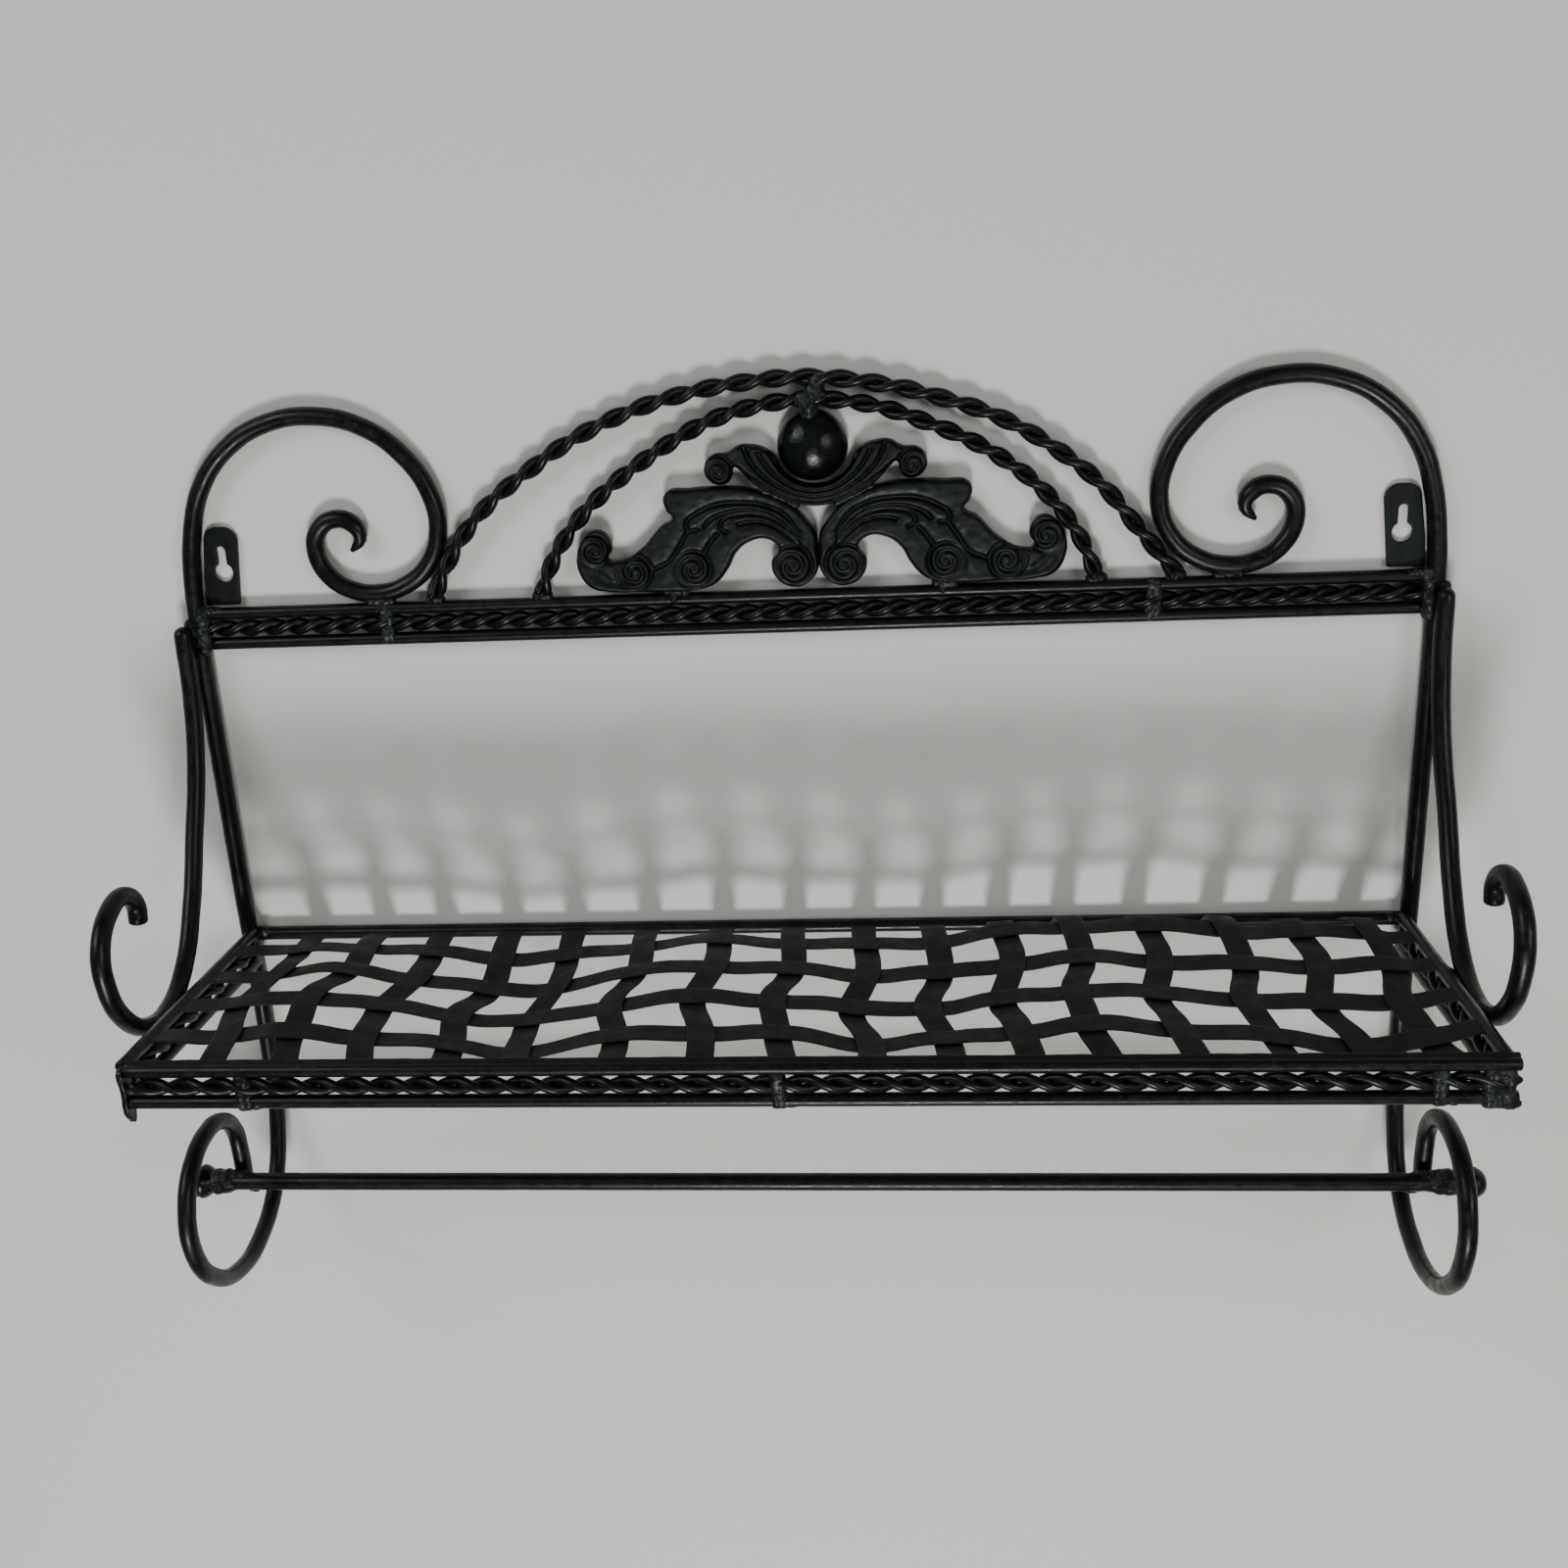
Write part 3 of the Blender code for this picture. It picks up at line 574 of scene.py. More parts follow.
def rope_strands(path, front, turn, lay, start):
    """Two strands about path. lay is 1 where the strands in front climb towards the path's end."""
    frames = frames_along(path, front)
    length = sum((b - a).length for a, b in zip(path, path[1:]))
    strands = []
    for phase in (0, math.pi):
        places = []
        for number, (place, (_, across, up)) in enumerate(zip(path, frames)):
            angle = phase + start + lay * 2 * math.pi * (length / turn) * number / (len(path) - 1)
            places.append(place + STRAND_RADIUS * (math.cos(angle) * across + math.sin(angle) * up))
        strands.append(places)
    return strands


# ---- rods


def add_side_rods(paint):
    for side, word in SIDES:
        loop = [Vector((side * UPRIGHT_X, y * MM, RAIL_Z + z * MM)) for y, z in LOOP]
        path = smooth_path(on_frame(SCROLL, RAIL.y, side) + loop, BEND_STEP)
        shares = []
        travelled = 0.0
        for number in range(len(path)):
            travelled += (path[number] - path[max(number - 1, 0)]).length
            growth = (travelled / SCROLL_TAPER) ** 0.7
            shares.append(min(1.0, SCROLL_TIP_SHARE + (1 - SCROLL_TIP_SHARE) * growth))
        settings = {"dent": HEAVY_DENT, "seed": side * 3.0, "round_ends": (0.8, 0.35)}
        add_looks(f"{word}_side_rod", tube_mesh(path, HEAVY_RADIUS, shares=shares, **settings), paint)


def add_braces(paint):
    for side, word in SIDES:
        points = []
        for y, z in BRACE:
            spread = BRACE_SPREAD * min(1, -y * MM / BRACE_SPREAD_END)
            x = side * (UPRIGHT_X + spread) + BRACE_SHIFT
            points.append(Vector((x, y * MM, RAIL_Z + z * MM)))
        path = smooth_path(points, BEND_STEP)
        settings = {"dent": HEAVY_DENT, "seed": side * 7.0, "round_ends": (0.9, 0.5)}
        shape = tube_mesh(path, HEAVY_RADIUS, side=Vector((side, 0, 0)), **settings)
        add_looks(f"{word}_brace", shape, paint)


def band_ends(node):
    """The two ends of a band's upper rod, on its axis: left to right, or back to front."""
    axis = middle_of(f"{node}_upper_rod")
    size = size_of(f"{node}_upper_rod")
    along = Vector((size.x / 2, 0, 0)) if size.x > size.y else Vector((0, -size.y / 2, 0))
    return axis - along, axis + along


def add_bands(paint):
    """Each band's two rods, and the rope between them."""
    bands = (
        ("rail", RAIL_TURN, 1, TO_ROOM),
        ("shelf_front", SHELF_TURN, -1, TO_ROOM),
        ("shelf_left", SHELF_TURN, -1, Vector((-1, 0, 0))),
        ("shelf_right", SHELF_TURN, -1, Vector((1, 0, 0))),
    )
    drop = Vector((0, 0, -BAND_SPACING))
    for number, (node, turn, lay, outward) in enumerate(bands):
        start, end = band_ends(node)
        settings = {"side": outward, "dent": BAND_DENT, "seed": number * 5.0, "round_ends": (0.3, 0.3)}
        for word, shift in (("upper", Vector()), ("lower", drop)):
            path = even_path([start + shift, end + shift], ROD_STEP)
            shape = tube_mesh(path, BAND_RADIUS, sides=16, **settings)
            add_piece(f"{node}_{word}_looks", shape, paint, [f"{node}_{word}_rod"])
        inset = (end - start).normalized() * ROPE_INSET
        path = even_path([start + inset + drop / 2, end - inset + drop / 2], ROPE_STEP)
        strands = rope_strands(path, outward, turn, lay, start=0.6 * number)
        shapes = [tube_mesh(strand, STRAND_RADIUS, sides=12, side=outward) for strand in strands]
        add_piece(f"{node}_rope_looks", joined(shapes), paint, [f"{node}_twist"])


def add_back_rod(paint):
    low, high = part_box("shelf_back_rod")
    path = even_path([Vector((low.x, BACK_Y, SHELF_Z)), Vector((high.x, BACK_Y, SHELF_Z))], ROD_STEP)
    radius = size_of("shelf_back_rod").z / 2
    shape = tube_mesh(path, radius, sides=20, dent=BAND_DENT, seed=21.0, round_ends=(0.3, 0.3))
    add_looks("shelf_back_rod", shape, paint)


def add_front_seam(paint):
    """The bead of paint and weld along the front rod's top, where the slats end."""
    start, end = band_ends("shelf_front")
    offset = Vector((0, SEAM_BACK, SEAM_UP))
    path = even_path([start + offset, end + offset], SEAM_STEP)
    shape = tube_mesh(path, SEAM_RADIUS, sides=12, dent=SEAM_DENT, seed=31.0, round_ends=(0.5, 0.5))
    add_piece("front_seam", shape, paint, [], {"edge": [0.0] * len(shape[0])})


def add_arches(paint):
    arches = (
        ("outer_arch", OUTER_ARCH, OUTER_ROPE_TURN, 0.4),
        ("inner_arch", INNER_ARCH, INNER_ROPE_TURN, 1.3),
    )
    for name, outline, turn, start in arches:
        path = smooth_path(on_frame(outline, ROPE_Y), ARCH_STEP)
        for letter, strand in zip("ab", rope_strands(path, TO_ROOM, turn, 1, start)):
            shape = tube_mesh(strand, STRAND_RADIUS, sides=14, dent=STRAND_DENT)
            add_looks(f"{name}_strand_{letter}", shape, paint)


def add_towel_bar(paint):
    path = even_path([Vector((-BAR_END, BAR.y, BAR.z)), Vector((BAR_END, BAR.y, BAR.z))], 5 * MM)
    shape = tube_mesh(path, HEAVY_RADIUS, dent=0.08 * MM, seed=11.0, round_ends=(0.1, 0.1))
    add_looks("towel_bar", shape, paint)


# ---- castings, plates and turned pieces


def arrays_of(obj):
    """(verts as an array, faces) of obj with its modifiers applied. obj is removed."""
    graph = bpy.context.evaluated_depsgraph_get()
    mesh = bpy.data.meshes.new_from_object(obj.evaluated_get(graph))
    places = np.empty(len(mesh.vertices) * 3, np.float32)
    mesh.vertices.foreach_get("co", places)
    faces = [tuple(polygon.vertices) for polygon in mesh.polygons]
    bpy.data.meshes.remove(mesh)
    bpy.data.objects.remove(obj)
    return places.reshape(-1, 3).astype(float), faces


def softened(obj, voxel, rounds):
    """arrays_of obj after a voxel remesh, with its edges rounded by a few rounds of smoothing."""
    remesh = obj.modifiers.new("fine", "REMESH")
    remesh.mode = "VOXEL"
    remesh.voxel_size = voxel
    smooth = obj.modifiers.new("soft", "SMOOTH")
    smooth.iterations = rounds
    return arrays_of(obj)


def plate_blank(outlines, thickness, voxel, rounds):
    """A fine closed plate. Columns of verts: across, up, and depth from 0 (back) to thickness (front)."""
    curve = bpy.data.curves.new("blank", "CURVE")
    curve.dimensions = "2D"
    curve.fill_mode = "BOTH"
    curve.extrude = thickness / 2
    for outline in outlines:
        spline = curve.splines.new("POLY")
        spline.points.add(len(outline) - 1)
        spline.use_cyclic_u = True
        for spline_point, (across, up) in zip(spline.points, outline):
            spline_point.co = (across, up, 0, 1)
    places, faces = arrays_of(add_object("guide", curve))
    mesh = bpy.data.meshes.new("blank")
    mesh.from_pydata([tuple(place) for place in places], [], faces)
    shape = bmesh.new()
    shape.from_mesh(mesh)
    bmesh.ops.remove_doubles(shape, verts=shape.verts, dist=0.01 * MM)
    shape.to_mesh(mesh)
    shape.free()
    places, faces = softened(add_object("guide", mesh), voxel, rounds)
    places[:, 2] += thickness / 2
    return places, faces


def smooth_outline(points, step=0.7 * MM, closed=False):
    """The smooth curve through points in millimetres, as an array of places in metres.

    A closed one runs on past both ends, so that it is smooth there too, and is cut to one round."""
    ring = [Vector((across * MM, 0, up * MM)) for across, up in points]
    if closed:
        ring = ring[-3:] + ring + ring[:3]
    places = smooth_path(ring, step)
    if closed:
        half = len(places) // 2
        first = min(range(half), key=lambda index: (places[index] - ring[3]).length)
        last = min(range(half, len(places)), key=lambda index: (places[index] - ring[-3]).length)
        places = places[first:last]
    return np.array([(place.x, place.z) for place in places])


def distance_to(points, path, closed=False):
    """Distance from each of points to the straight runs through path."""
    nearest = np.full(len(points), np.inf)
    ends = np.roll(path, -1, axis=0) if closed else path[1:]
    for start, end in zip(path, ends):
        run = end - start
        share = np.clip((points - start) @ run / max(run @ run, 1e-18), 0, 1)
        nearest = np.minimum(nearest, np.hypot(*(points - start - share[:, None] * run).T))
    return nearest


def volute_relief(points, across, up, radius, hand):
    """(height, share proud, share covered) of a spiral boss, in metres."""
    offset = points - np.array((across, up)) * MM
    reach = np.hypot(*offset.T) / (radius * MM)
    angle = np.arctan2(offset[:, 1], offset[:, 0])
    ridge = 0.5 + 0.5 * np.cos(2 * math.pi * VOLUTE_TURNS * reach - hand * angle)
    ridge = np.maximum(ridge, np.exp(-((reach / VOLUTE_EYE) ** 2)))
    inside = np.clip((VOLUTE_RIM - reach) / RIM_FADE, 0, 1)
    moat = np.exp(-(((reach - MOAT_AT) * radius / MOAT_REACH) ** 2))
    height = inside * (VOLUTE_DOME * (1 - reach**2) - VOLUTE_DEPTH * (1 - ridge)) - MOAT_DEPTH * moat
    return height, ridge**2, inside


def pressed(distance, mark):
    """How deep a mark, given as its depth and reach, is at a distance from its middle."""
    depth, reach = mark
    return depth * np.exp(-((distance / reach) ** 2))


def casting(outline, grooves, channel, volutes, section, seed):
    """(verts as across, up, depth; faces; share proud) of a plate cast in relief.

    section is its thickness, the thickness of its edge, and the width over which the edge is rounded.
    Grooves and volutes to the right of the middle line are repeated on the left."""
    thickness, edge_thickness, roll = section
    edge = smooth_outline(outline, closed=True)
    verts, faces = plate_blank([edge], thickness, CAST_VOXEL, rounds=3)
    points = verts[:, :2].copy()
    points[:, 0] = np.abs(points[:, 0])
    to_edge = distance_to(verts[:, :2], edge, closed=True)
    crown = np.sqrt(1 - (1 - np.clip(to_edge / roll, 0, 1)) ** 2)
    to_groove = np.full(len(points), 1.0)
    for groove in grooves:
        to_groove = np.minimum(to_groove, distance_to(points, smooth_outline(groove)))
    height = -pressed(to_groove, GROOVE) - pressed(to_groove, VALLEY)
    # round each groove the dry-brushing and painted highlight are left out: painted shade in the groove
    proud = 1 - pressed(to_groove, (1, BARE_REACH))
    if channel:
        height -= pressed(distance_to(points, smooth_outline(channel)), CHANNEL)
    for volute in volutes:
        boss_height, boss_proud, covered = volute_relief(points, *volute)
        height = height * (1 - covered) + boss_height
        proud = proud * (1 - covered) + boss_proud * covered
    for index, place in enumerate(verts[:, :2] * CAST_DENTS_PER_METRE):
        height[index] += CAST_DENT * noise.noise((*place, seed))
    full = edge_thickness + (thickness - edge_thickness) * crown
    verts[:, 2] *= (full + height * crown) / thickness
    # the dry-brushing and painted highlight fade out near the outline, so the rolled edge is painted dark
    # as shade
    proud *= np.clip((to_edge - 0.5 * MM) / (1.6 * MM), 0, 1)
    return verts, faces, proud


def mirrored(faces, side):
    """faces turned over where side is -1, for verts mirrored left to right."""
    return faces if side > 0 else [face[::-1] for face in faces]


def add_ornament(paint):
    """Two leaves that mirror each other, the cup between them, and the ball in the cup."""
    leaf = casting(LEAF, LEAF_GROOVES, LEAF_CHANNEL, LEAF_VOLUTES, LEAF_SECTION, seed=2.0)
    cup_outline = CUP + tuple((-across, up) for across, up in CUP[-2:0:-1])
    cup = casting(cup_outline, CUP_GROOVES, None, CUP_VOLUTES, CUP_SECTION, seed=5.0)
    castings = ((leaf, -1, "leaf_left"), (leaf, 1, "leaf_right"), (cup, 1, "cup"))
    for (verts, faces, proud), side, node in castings:
        x = ORNAMENT_X + side * verts[:, 0]
        y = ORNAMENT_BACK_Y - verts[:, 2]
        placed = np.column_stack((x, y, RAIL_Z + verts[:, 1]))
        add_looks(node, (placed, mirrored(faces, side)), paint, {"relief": proud})
    add_ball(paint)


def turned_mesh(profile, origin, axis, sides, dent, seed):
    """(verts, faces) of a closed turned shape; profile goes from pole to pole as (radius, along)."""
    across = axis.orthogonal().normalized()
    up = axis.cross(across)
    verts = [origin + axis * profile[0][1]]
    for radius, along in profile[1:-1]:
        for corner in range(sides):
            angle = 2 * math.pi * corner / sides
            out = math.cos(angle) * across + math.sin(angle) * up
            place = origin + axis * along + out * radius
            verts.append(place + out * dent * noise.noise(place * 170 + Vector((seed, 0, 0))))
    verts.append(origin + axis * profile[-1][1])
    last = len(verts) - 1
    rings = len(profile) - 2
    faces = skin(rings, sides, start=1, flipped=True, closed=False)
    for corner in range(sides):
        following = (corner + 1) % sides
        faces.append((0, 1 + following, 1 + corner))
        faces.append((last - sides + corner, last - sides + following, last))
    return verts, faces


def add_ball(paint):
    """A half ball with a flat back."""
    radius = size_of("ball").x / 2
    depth = size_of("ball").y
    middle = middle_of("ball")
    origin = Vector((middle.x, ORNAMENT_BACK_Y, middle.z))
    profile = [(0, 0), (radius - 0.5 * MM, 0), (radius - 0.1 * MM, 0.15 * MM)]
    rings = 30
    for ring in range(1, rings):
        angle = math.pi / 2 * ring / rings
        profile.append((radius * math.cos(angle), depth * math.sin(angle)))
    profile.append((0, depth))
    verts, faces = turned_mesh(profile, origin, TO_ROOM, sides=72, dent=0.12 * MM, seed=4.0)
    # dry-brushing, partly a painted highlight, grows from none at the ball's back rim to half at its front
    proud = [0.5 * min(1, (ORNAMENT_BACK_Y - vert.y) / depth) for vert in verts]
    marks = {"relief": proud, "polish": [1.0] * len(verts)}
    add_looks("ball", (verts, faces), paint, marks)


def add_finials(paint):
    profile = [(max(radius, 0.0), along) for radius, along in smooth_outline(FINIAL_PROFILE)]
    for side, word in SIDES:
        low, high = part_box(f"{word}_finial")
        start = Vector((side * min(abs(low.x), abs(high.x)), BAR.y, BAR.z))
        axis = Vector((side, 0, 0))
        shape = turned_mesh(profile, start, axis, sides=40, dent=0.5 * MM, seed=side * 2.0)
        add_looks(f"{word}_finial", shape, paint)


def arc(across, up, radius, start, end, steps):
    """Points in metres on an arc given in millimetres, with angles in degrees from across towards up."""
    points = []
    for step in range(steps + 1):
        angle = math.radians(start + (end - start) * step / steps)
        points.append(((across + radius * math.cos(angle)) * MM, (up + radius * math.sin(angle)) * MM))
    return points


def add_hanger_plates(paint):
    """Flat tabs inside the uprights, each with a keyhole for a screw."""
    low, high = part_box("right_hanger_plate")
    inner, outer = PLATE_TOP_CORNERS
    corner = PLATE_CORNER_RADIUS
    corner_up = RAIL_Z / MM + PLATE_TOP - corner
    outline = [(x * MM, RAIL_Z + z * MM) for x, z in PLATE_SIDE]
    outline += arc(outer - corner, corner_up, corner, 0, 90, 16)
    outline += arc(inner + corner, corner_up, corner, 90, 180, 16)
    half_opening = math.degrees(math.asin(KEYHOLE_SLOT_RADIUS / KEYHOLE_RADIUS))
    keyhole = arc(KEYHOLE_X, KEYHOLE_Z, KEYHOLE_RADIUS, 90 + half_opening, 450 - half_opening, 48)
    keyhole += arc(KEYHOLE_X, -KEYHOLE_SLOT_RADIUS, KEYHOLE_SLOT_RADIUS, 0, 180, 20)
    verts, faces = plate_blank([outline, keyhole], high.y - low.y, voxel=0.32 * MM, rounds=2)
    for side, word in SIDES:
        placed = np.column_stack((side * verts[:, 0], high.y - verts[:, 2], verts[:, 1]))
        marks = {"relief": np.full(len(placed), 0.75)}
        add_looks(f"{word}_hanger_plate", (placed, mirrored(faces, side)), paint, attributes=marks)


def add_corner_plate(paint):
    """The flattened end of the shelf's front band, with a drip of weld under it."""
    low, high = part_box("front_left_corner_plate")
    thickness = high.x - low.x + 0.6 * MM
    face_x = high.x + 0.4 * MM
    shape = smooth_outline(CORNER_PLATE, 0.5 * MM, closed=True)
    verts, faces = plate_blank([shape], thickness, voxel=0.4 * MM, rounds=3)
    placed = np.column_stack((face_x - verts[:, 2], FRONT_Y - verts[:, 0], SHELF_Z + verts[:, 1]))
    for index, (x, y, z) in enumerate(placed):
        placed[index, 0] -= 0.5 * MM * noise.noise((x * 200, y * 200, z * 200)) + 0.3 * MM
    add_looks("front_left_corner_plate", (placed, faces), paint)


# ---- welds


def run_of(start, end, radius, count):
    """Lumps in a row from start to end, each (x, y, height above the rail, radius) in millimetres."""
    lumps = []
    for number in range(count):
        share = number / (count - 1)
        place = [first + (second - first) * share for first, second in zip(start, end)]
        lumps.append((*place, radius * (0.88 + 0.24 * ((number * 0.618) % 1))))
    return lumps


def lump_middle(lump):
    x, y, z, _ = lump
    return Vector((x * MM, y * MM, RAIL_Z + z * MM))


def add_weld(name, runs, paint, replaced=(), extra=(), side=1):
    """Lumps of weld run together: runs are the arguments of run_of, and extra is more lumps."""
    lumps = [lump for run in runs for lump in run_of(*run)] + list(extra)
    lumps = [(side * x, y, z, radius) for x, y, z, radius in lumps]
    shape = bmesh.new()
    for lump in lumps:
        place = Matrix.Translation(lump_middle(lump))
        bmesh.ops.create_icosphere(shape, subdivisions=2, radius=lump[3] * MM, matrix=place)
    mesh = bpy.data.meshes.new("lumps")
    shape.to_mesh(mesh)
    shape.free()
    places, faces = softened(add_object("guide", mesh), CAST_VOXEL, rounds=7)
    middles = [lump_middle(lump) for lump in lumps]
    for index, place in enumerate(map(Vector, places)):
        swell = 0.5 * noise.noise(place * 260) + 0.2 * noise.noise(place * 700)
        offsets = [place - middle for middle in middles]
        out = min(offsets, key=lambda offset: offset.length).normalized()
        places[index] += np.array(out * swell * MM)
    add_piece(name, (places, faces), paint, replaced)


def add_tie_welds(paint):
    """Two runs of weld side by side on each tie. A front tie's weld also smears along the lower rod."""
    for number in (1, 2):
        x = middle_of(f"rail_tie_{number}").x / MM
        runs = (
            ((x - 1.4, FACE - 0.9, 1), (x - 1.8, FACE - 0.9, -DROP), *TIE_LUMPS),
            ((x + 1, FACE - 0.9, 0.6), (x + 1, FACE - 0.8, -DROP + 0.4), *TIE_LUMPS),
        )
        add_weld(f"rail_tie_{number}_looks", runs, paint, [f"rail_tie_{number}"])
    top = SHELF_UP - 1
    low = SHELF_UP - DROP
    for number in (1, 2, 3):
        x = middle_of(f"front_tie_{number}").x / MM
        runs = (
            ((x - 1.6, FRONT - 0.7, top), (x - 1.2, FRONT - 0.7, low + 1), *TIE_LUMPS),
            ((x + 0.6, FRONT - 0.7, top), (x + 1.2, FRONT - 0.6, low + 1), *TIE_LUMPS),
            ((x + 2.6, FRONT - 0.6, low + 2), (x + 6, FRONT - 0.5, low + 1), 2.6, 6),
        )
        add_weld(f"front_tie_{number}_looks", runs, paint, [f"front_tie_{number}"])


def add_side_welds(paint):
    """Where each side's rods meet the rail, the shelf, the towel bar and each other."""
    edge = UPRIGHT - HEAVY
    brace_x = UPRIGHT + HEAVY
    welds = {
        "rail": (
            ((edge, FACE - 1.5, 1), (edge + 1, FACE - 3, -DROP - 2), 4.2, 6),
            ((edge - 3, FACE - 1.6, 2), (edge - 8, FACE - 1, 1.4), 2.4, 3),
        ),
        "brace": (((brace_x - 2, FACE - 3.4, -4.5), (brace_x - 0.5, FACE - 4, -30), 3.4, 10),),
        "scroll": (((194, FACE - 1.2, 3.6), (204, FACE - 1.2, 3.8), 2.5, 5),),
        "shelf_back": (
            ((edge, FACE - 1, SHELF_UP + 0.5), (edge - 5, FACE - 1.2, SHELF_UP + 1), 2.8, 4),
            ((edge, FACE - 4, SHELF_UP), (edge, FACE - 7, SHELF_UP - 1), 2.4, 3),
        ),
        "brace_shelf": (((SIDE_X + 2.6, -66, SHELF_UP + 1.5), (SIDE_X + 3, -78, SHELF_UP + 1), 2.2, 5),),
        "bar": (
            ((UPRIGHT - 1, -57.5, BAR_UP - 4.6), (UPRIGHT - 8, -60, BAR_UP - 4.6), 3.2, 5),
            ((UPRIGHT - 5, -61.5, BAR_UP), (UPRIGHT + 5, -62, BAR_UP), 5.2, 6),
            ((UPRIGHT + 3, -62.5, BAR_UP), (UPRIGHT + 9, -63, BAR_UP), 6.2, 4),
        ),
    }
    for side, word in SIDES:
        for joint, runs in welds.items():
            add_weld(f"{word}_{joint}_weld", runs, paint, side=side)


def add_arch_welds(paint):
    """The arches' feet on the rail, the leaves on the rail, and the collar between ball and arches."""
    feet = (OUTER_ARCH[0], INNER_ARCH[0], INNER_ARCH[-1], OUTER_ARCH[-1])
    for number, (x, _) in enumerate(feet, 1):
        add_weld(f"arch_foot_weld_{number}", [((x - 2.5, -5, 3.8), (x + 2.5, -5, 3.8), 3.0, 3)], paint)
    for number, x in enumerate((-56, 70), 1):
        runs = [((x - 4, -7, 4.2), (x + 4, -6.6, 4), 2.6, 4)]
        add_weld(f"leaf_weld_{number}", runs, paint, extra=[(x - 1, -7.4, 1.2, 2.2)])
    collar = (
        ((10.4, -7, 82.6), (10.4, -7.6, 88), 4.4, 6),
        ((5, -7, 90.2), (16.4, -7, 91), 3.4, 8),
        ((11.6, -7.4, 91), (14.8, -7, 97.6), 4.0, 8),
    )
    add_weld("ball_collar_weld", collar, paint)


def add_corner_weld(paint):
    """The rough filled end of the shelf's front band, with two drips to its right."""
    low = SHELF_UP - DROP
    runs = []
    for offset in (-8.6, -6.6, -4.6, -2.6, -0.6):
        x = SIDE_X + offset
        runs.append(((x, FRONT - 0.6, SHELF_UP - 0.6), (x, FRONT - 0.8, low + 0.2), 2.8, 10))
    x = SIDE_X - 1
    runs.append(((x, FRONT - 1, SHELF_UP - 3), (SIDE_X + 2.4, FRONT - 0.8, SHELF_UP - 4.4), 2.2, 3))
    runs.append(((x, FRONT - 1, low - 1), (SIDE_X + 2.8, FRONT - 0.6, low - 0.4), 2.2, 3))
    add_weld("front_right_corner_weld", runs, paint)


def add_cup_welds(paint):
    """The seams between the cup and the leaves."""
    middle = ORNAMENT_X / MM
    for side, word in SIDES:
        runs = [((middle + side * 9, -7, 42.6), (middle + side * 25.5, -7, 50), 2.0, 14)]
        add_weld(f"{word}_leaf_cup_weld", runs, paint)


# ---- slats


def surface_height(x, y):
    """Height of the woven surface above the axes of the shelf's upper rods."""
    share = (BACK_Y - y) / SHELF_DEPTH
    height = SURFACE_RISE
    for bulge_x, bulge_share, bulge_height, reach in BULGES:
        across = (x - bulge_x * MM) / (reach * MM)
        deep = (share - bulge_share) / BULGE_DEPTH_REACH
        height += bulge_height * MM * math.exp(-(across**2) - deep**2)
    to_edge = min(SHELF_HALF_WIDTH - abs(x), BACK_Y - y, y - FRONT_Y)
    return height * (1 - math.exp(-((max(to_edge, 0) / EDGE_FADE) ** 2)))


def long_slat_y(row):
    """The middle line of a long slat, counted from the back."""
    return BACK_Y - SHELF_DEPTH * (row + 1) / (LONG_SLATS + 1)


def cross_slat_x(column, y):
    """The middle line of a cross slat at depth y, with its lean and bends."""
    middle_x = CROSS_SLAT_X[column] * MM
    lean = CROSS_SLAT_LEAN * (middle_x - LEAN_START) / MM
    share = (BACK_Y - y) / SHELF_DEPTH
    sway = 0
    for centre, size, reach in SWAYS:
        sway += size * MM * math.exp(-(((share - centre) / reach) ** 2))
    bend = CROSS_SLAT_BEND[column] * MM * math.exp(-(((share - BEND_SHARE) / BEND_REACH) ** 2))
    return middle_x + lean * (share - 0.5) * MM + sway + bend


def weave_lift(place, crossings):
    """Rise or fall at place. crossings lists (place, lift, how far the strip stays level beside it)."""
    places = [crossing[0] for crossing in crossings]
    index = min(max(int(np.searchsorted(places, place)) - 1, 0), len(places) - 2)
    first, first_lift, first_reach = crossings[index]
    second, second_lift, second_reach = crossings[index + 1]
    first = min(first + first_reach, (first + second) / 2 - MM)
    second = max(second - second_reach, (first + second) / 2)
    share = min(max((place - first) / (second - first), 0), 1)
    share = share * share * (3 - 2 * share)
    return first_lift * (1 - share) + second_lift * share


# A slat's section: share of its half width, share of its half thickness, and how near its edge
SLAT_SECTION = (
    (-0.96, 1.0, 0.8), (-0.8, 1.0, 0.1), (-0.3, 1.0, 0.0), (0.3, 1.0, 0.0), (0.8, 1.0, 0.1),
    (0.96, 1.0, 0.8), (1.0, 0.5, 1.0), (1.0, -0.5, 1.0), (0.96, -1.0, 0.8), (0.3, -1.0, 0.0),
    (-0.3, -1.0, 0.0), (-0.96, -1.0, 0.8), (-1.0, -0.5, 1.0), (-1.0, 0.5, 1.0),
)


def add_slat(node, start, end, centre_at, crossings, along_x, paint, seed):
    """A strip from start to end (x or y), whose middle line is at centre_at(place)."""
    count = round(abs(end - start) / SLAT_STEP) + 1
    verts, edges = [], []
    for place in np.linspace(start, end, count):
        x, y = (place, centre_at(place)) if along_x else (centre_at(place), place)
        wander = SLAT_WANDER * noise.noise((place * 25, seed, 0))
        wider = 1 + SLAT_WIDTH_CHANGE * noise.noise((place * 60, seed, 3.0))
        lift = weave_lift(place, crossings)
        for across, thick, edge in SLAT_SECTION:
            offset = across * SLAT_WIDTH / 2 * wider + wander
            at_x, at_y = (x, y + offset) if along_x else (x + offset, y)
            z = SHELF_Z + surface_height(at_x, at_y) + lift + thick * SLAT_THICKNESS / 2
            verts.append((at_x, at_y, z))
            edges.append(edge)
    faces = skin(count, len(SLAT_SECTION), flipped=along_x == (end > start))
    add_looks(node, (verts, faces), paint, {"edge": edges})


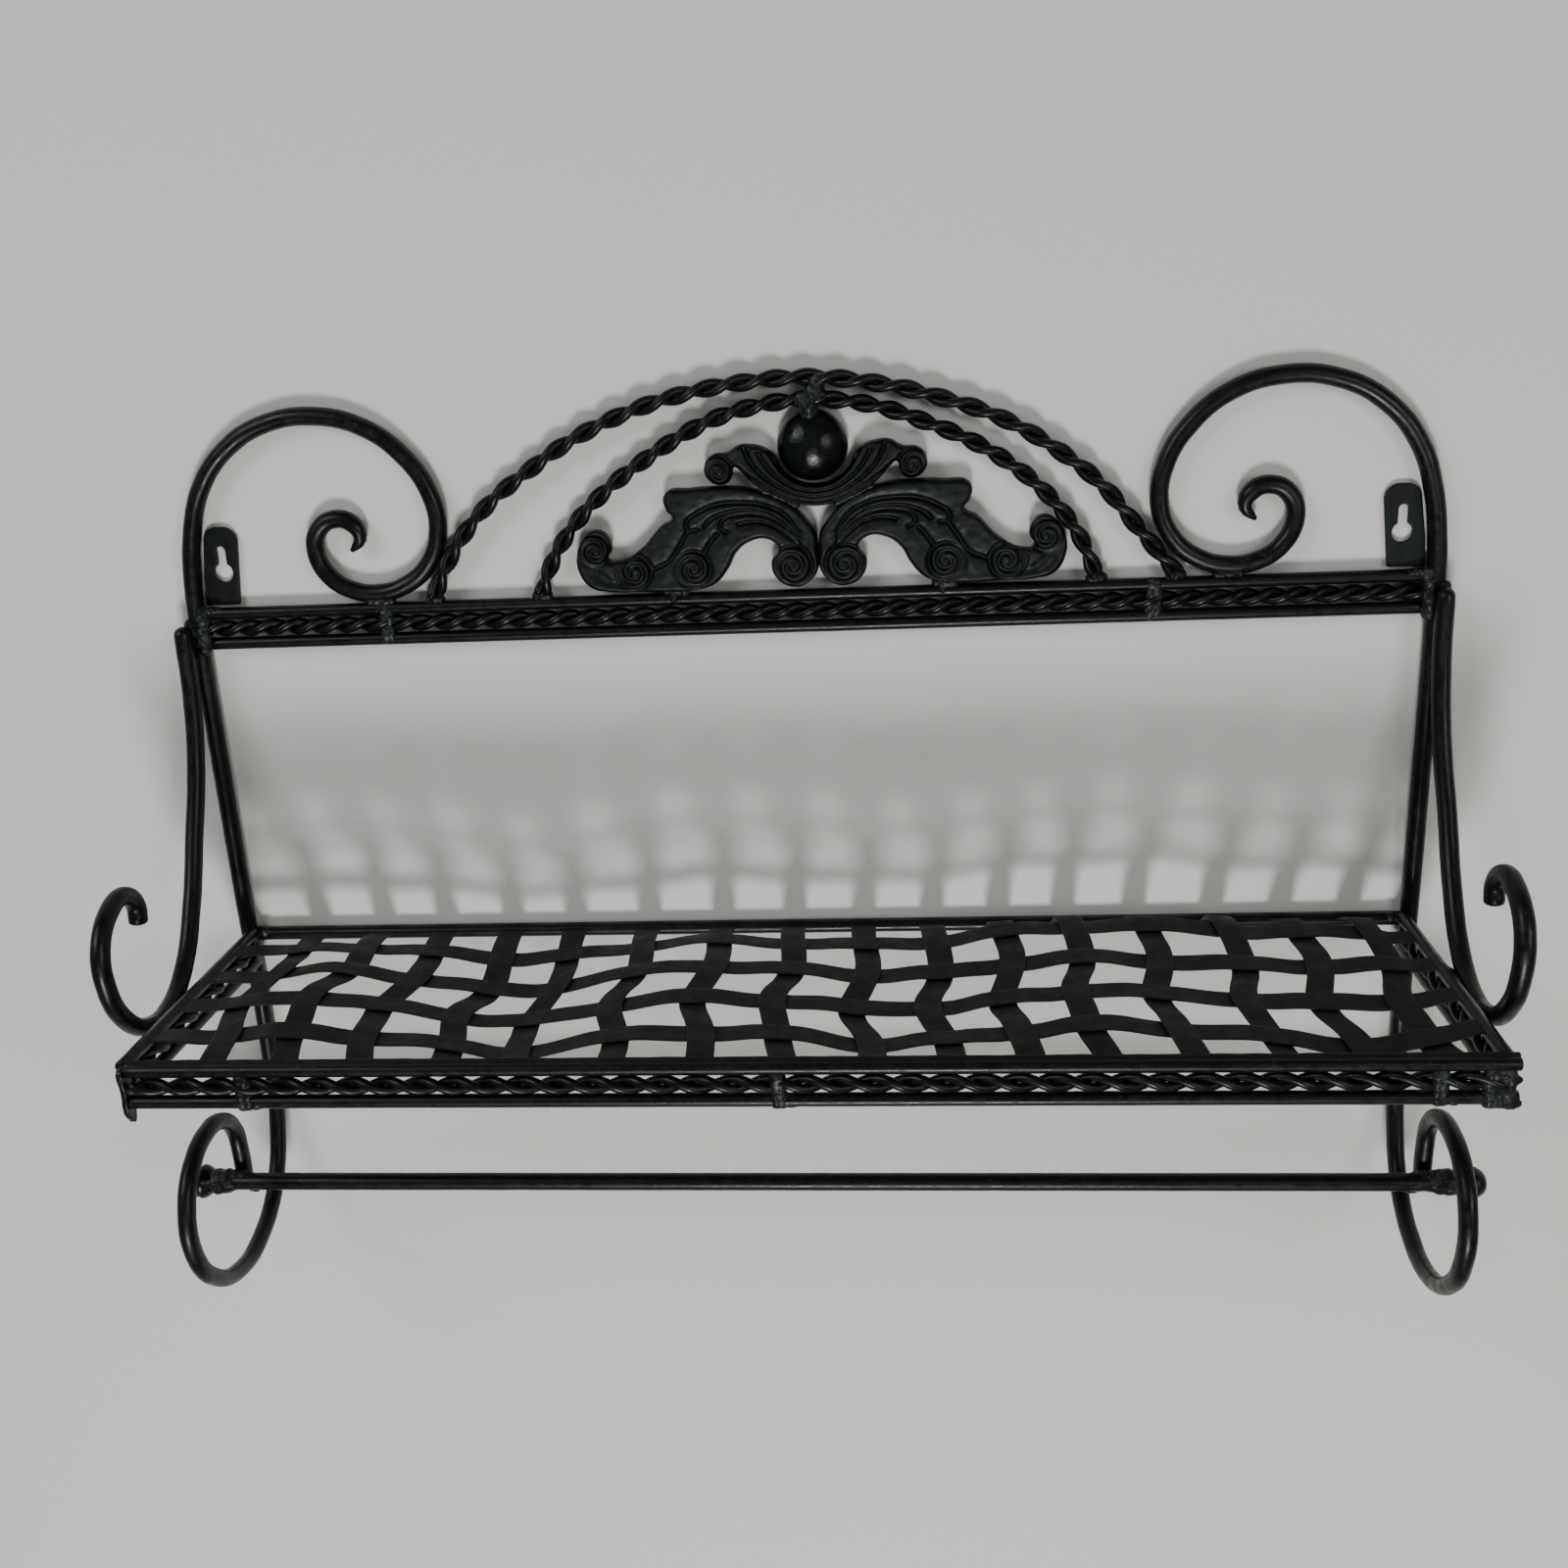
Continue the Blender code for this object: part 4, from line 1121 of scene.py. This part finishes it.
def add_slats(paint):
    """Long and cross slats, each over one and under the next."""
    side_x = SHELF_HALF_WIDTH - SIDE_INSET
    back_y = BACK_Y - BACK_INSET
    front_y = FRONT_Y + BAND_RADIUS - FRONT_INSET
    side_lift = BAND_RADIUS + SIDE_LIFT
    columns = range(len(CROSS_SLAT_X))
    for row in range(LONG_SLATS):
        y = long_slat_y(row)
        crossings = [(-side_x, side_lift, END_REACH)]
        for column in columns:
            lift = WEAVE_LIFT * (-1) ** (row + column)
            crossings.append((cross_slat_x(column, y), lift, CROSSING_REACH))
        crossings.append((side_x, side_lift, END_REACH))
        node = f"long_slat_{row + 1}"
        add_slat(node, -side_x, side_x, lambda place, y=y: y, crossings, True, paint, row * 3.7)
    for column in columns:
        crossings = [(front_y, FRONT_LIFT, END_REACH)]
        for row in reversed(range(LONG_SLATS)):
            lift = -WEAVE_LIFT * (-1) ** (row + column)
            crossings.append((long_slat_y(row), lift, CROSSING_REACH))
        crossings.append((back_y, BACK_LIFT, END_REACH))
        node = f"cross_slat_{column + 1:02d}"
        centre_at = partial(cross_slat_x, column)
        add_slat(node, back_y, front_y, centre_at, crossings, False, paint, 20 + column * 2.3)


# ---- stage, light and camera

RACK_MIDDLE = Vector((0, 0, -0.12))


def add_stage():
    """A plain pale wall behind the rack, seen from its room side only."""
    reach = 4.0
    y = 1.0 * MM
    mesh = bpy.data.meshes.new("backdrop")
    corners = [(-reach, y, -reach), (reach, y, -reach), (reach, y, reach), (-reach, y, reach)]
    mesh.from_pydata(corners, [], [(0, 1, 2, 3)])
    wall = add_object("backdrop", mesh)
    paint = Paint("backdrop")
    paint.shader.inputs["Base Color"].default_value = (*WALL_PALE, 1)
    paint.shader.inputs["Roughness"].default_value = 0.8
    paint.shader.inputs["Specular IOR Level"].default_value = 0.2
    facing = paint.node("ShaderNodeNewGeometry").outputs["Backfacing"]
    clear = paint.node("ShaderNodeBsdfTransparent").outputs["BSDF"]
    mixed = paint.node("ShaderNodeMixShader")
    for source, target in zip((facing, paint.shader.outputs["BSDF"], clear), mixed.inputs):
        paint.link(source, target)
    paint.link(mixed.outputs["Shader"], paint.tree.nodes["Material Output"].inputs["Surface"])
    mesh.materials.append(paint.material)


def add_light(name, place, size, power, colour):
    """A round lamp that faces the rack's middle."""
    light = bpy.data.lights.new(name, "AREA")
    light.shape = "DISK"
    light.size = size
    light.energy = power
    light.color = colour
    obj = add_object(name, light)
    obj.location = place
    obj.rotation_euler = (RACK_MIDDLE - Vector(place)).to_track_quat("-Z", "Y").to_euler()


def add_lights():
    world = bpy.data.worlds.new("studio")
    world.use_nodes = True
    background = world.node_tree.nodes["Background"]
    background.inputs["Color"].default_value = (0.95, 0.95, 0.93, 1)
    background.inputs["Strength"].default_value = 0.17
    bpy.context.scene.world = world
    add_light("key", (0.0, -2.0, -1.45), 0.6, 37, (0.98, 0.99, 1.0))
    add_light("window", (-1.6, -1.6, 1.2), 1.2, 19, (0.92, 0.96, 1.0))
    add_light("fill", (1.5, -2.0, 0.3), 1.0, 11, (0.96, 0.98, 1.0))


def add_camera():
    camera = bpy.data.cameras.new("camera")
    camera.sensor_width = 36
    camera.lens = 35.91
    camera.clip_start = 0.01
    camera.clip_end = 20
    obj = add_object("camera", camera)
    place = Vector((0.0574, -0.7279, 0.1134))
    right = Vector((0.9959, 0.0765, -0.0479))
    forward = Vector((-0.0877, 0.946, -0.3121))
    up = right.cross(forward)
    turn = Matrix((right, up, -forward)).transposed()
    obj.matrix_world = Matrix.Translation(place) @ turn.to_4x4()
    bpy.context.scene.camera = obj


def main():
    add_camera()
    rods = rod_paint()
    slats = slat_paint()
    cast = cast_paint()
    welds = weld_paint()
    add_side_rods(rods)
    add_braces(rods)
    add_bands(rods)
    add_back_rod(rods)
    add_arches(rods)
    add_towel_bar(rods)
    add_finials(rods)
    add_slats(slats)
    add_front_seam(slats)
    add_ornament(cast)
    add_hanger_plates(cast)
    add_corner_plate(rods)
    for add in (add_tie_welds, add_side_welds, add_arch_welds, add_corner_weld, add_cup_welds):
        add(welds)
    add_stage()
    add_lights()


main()
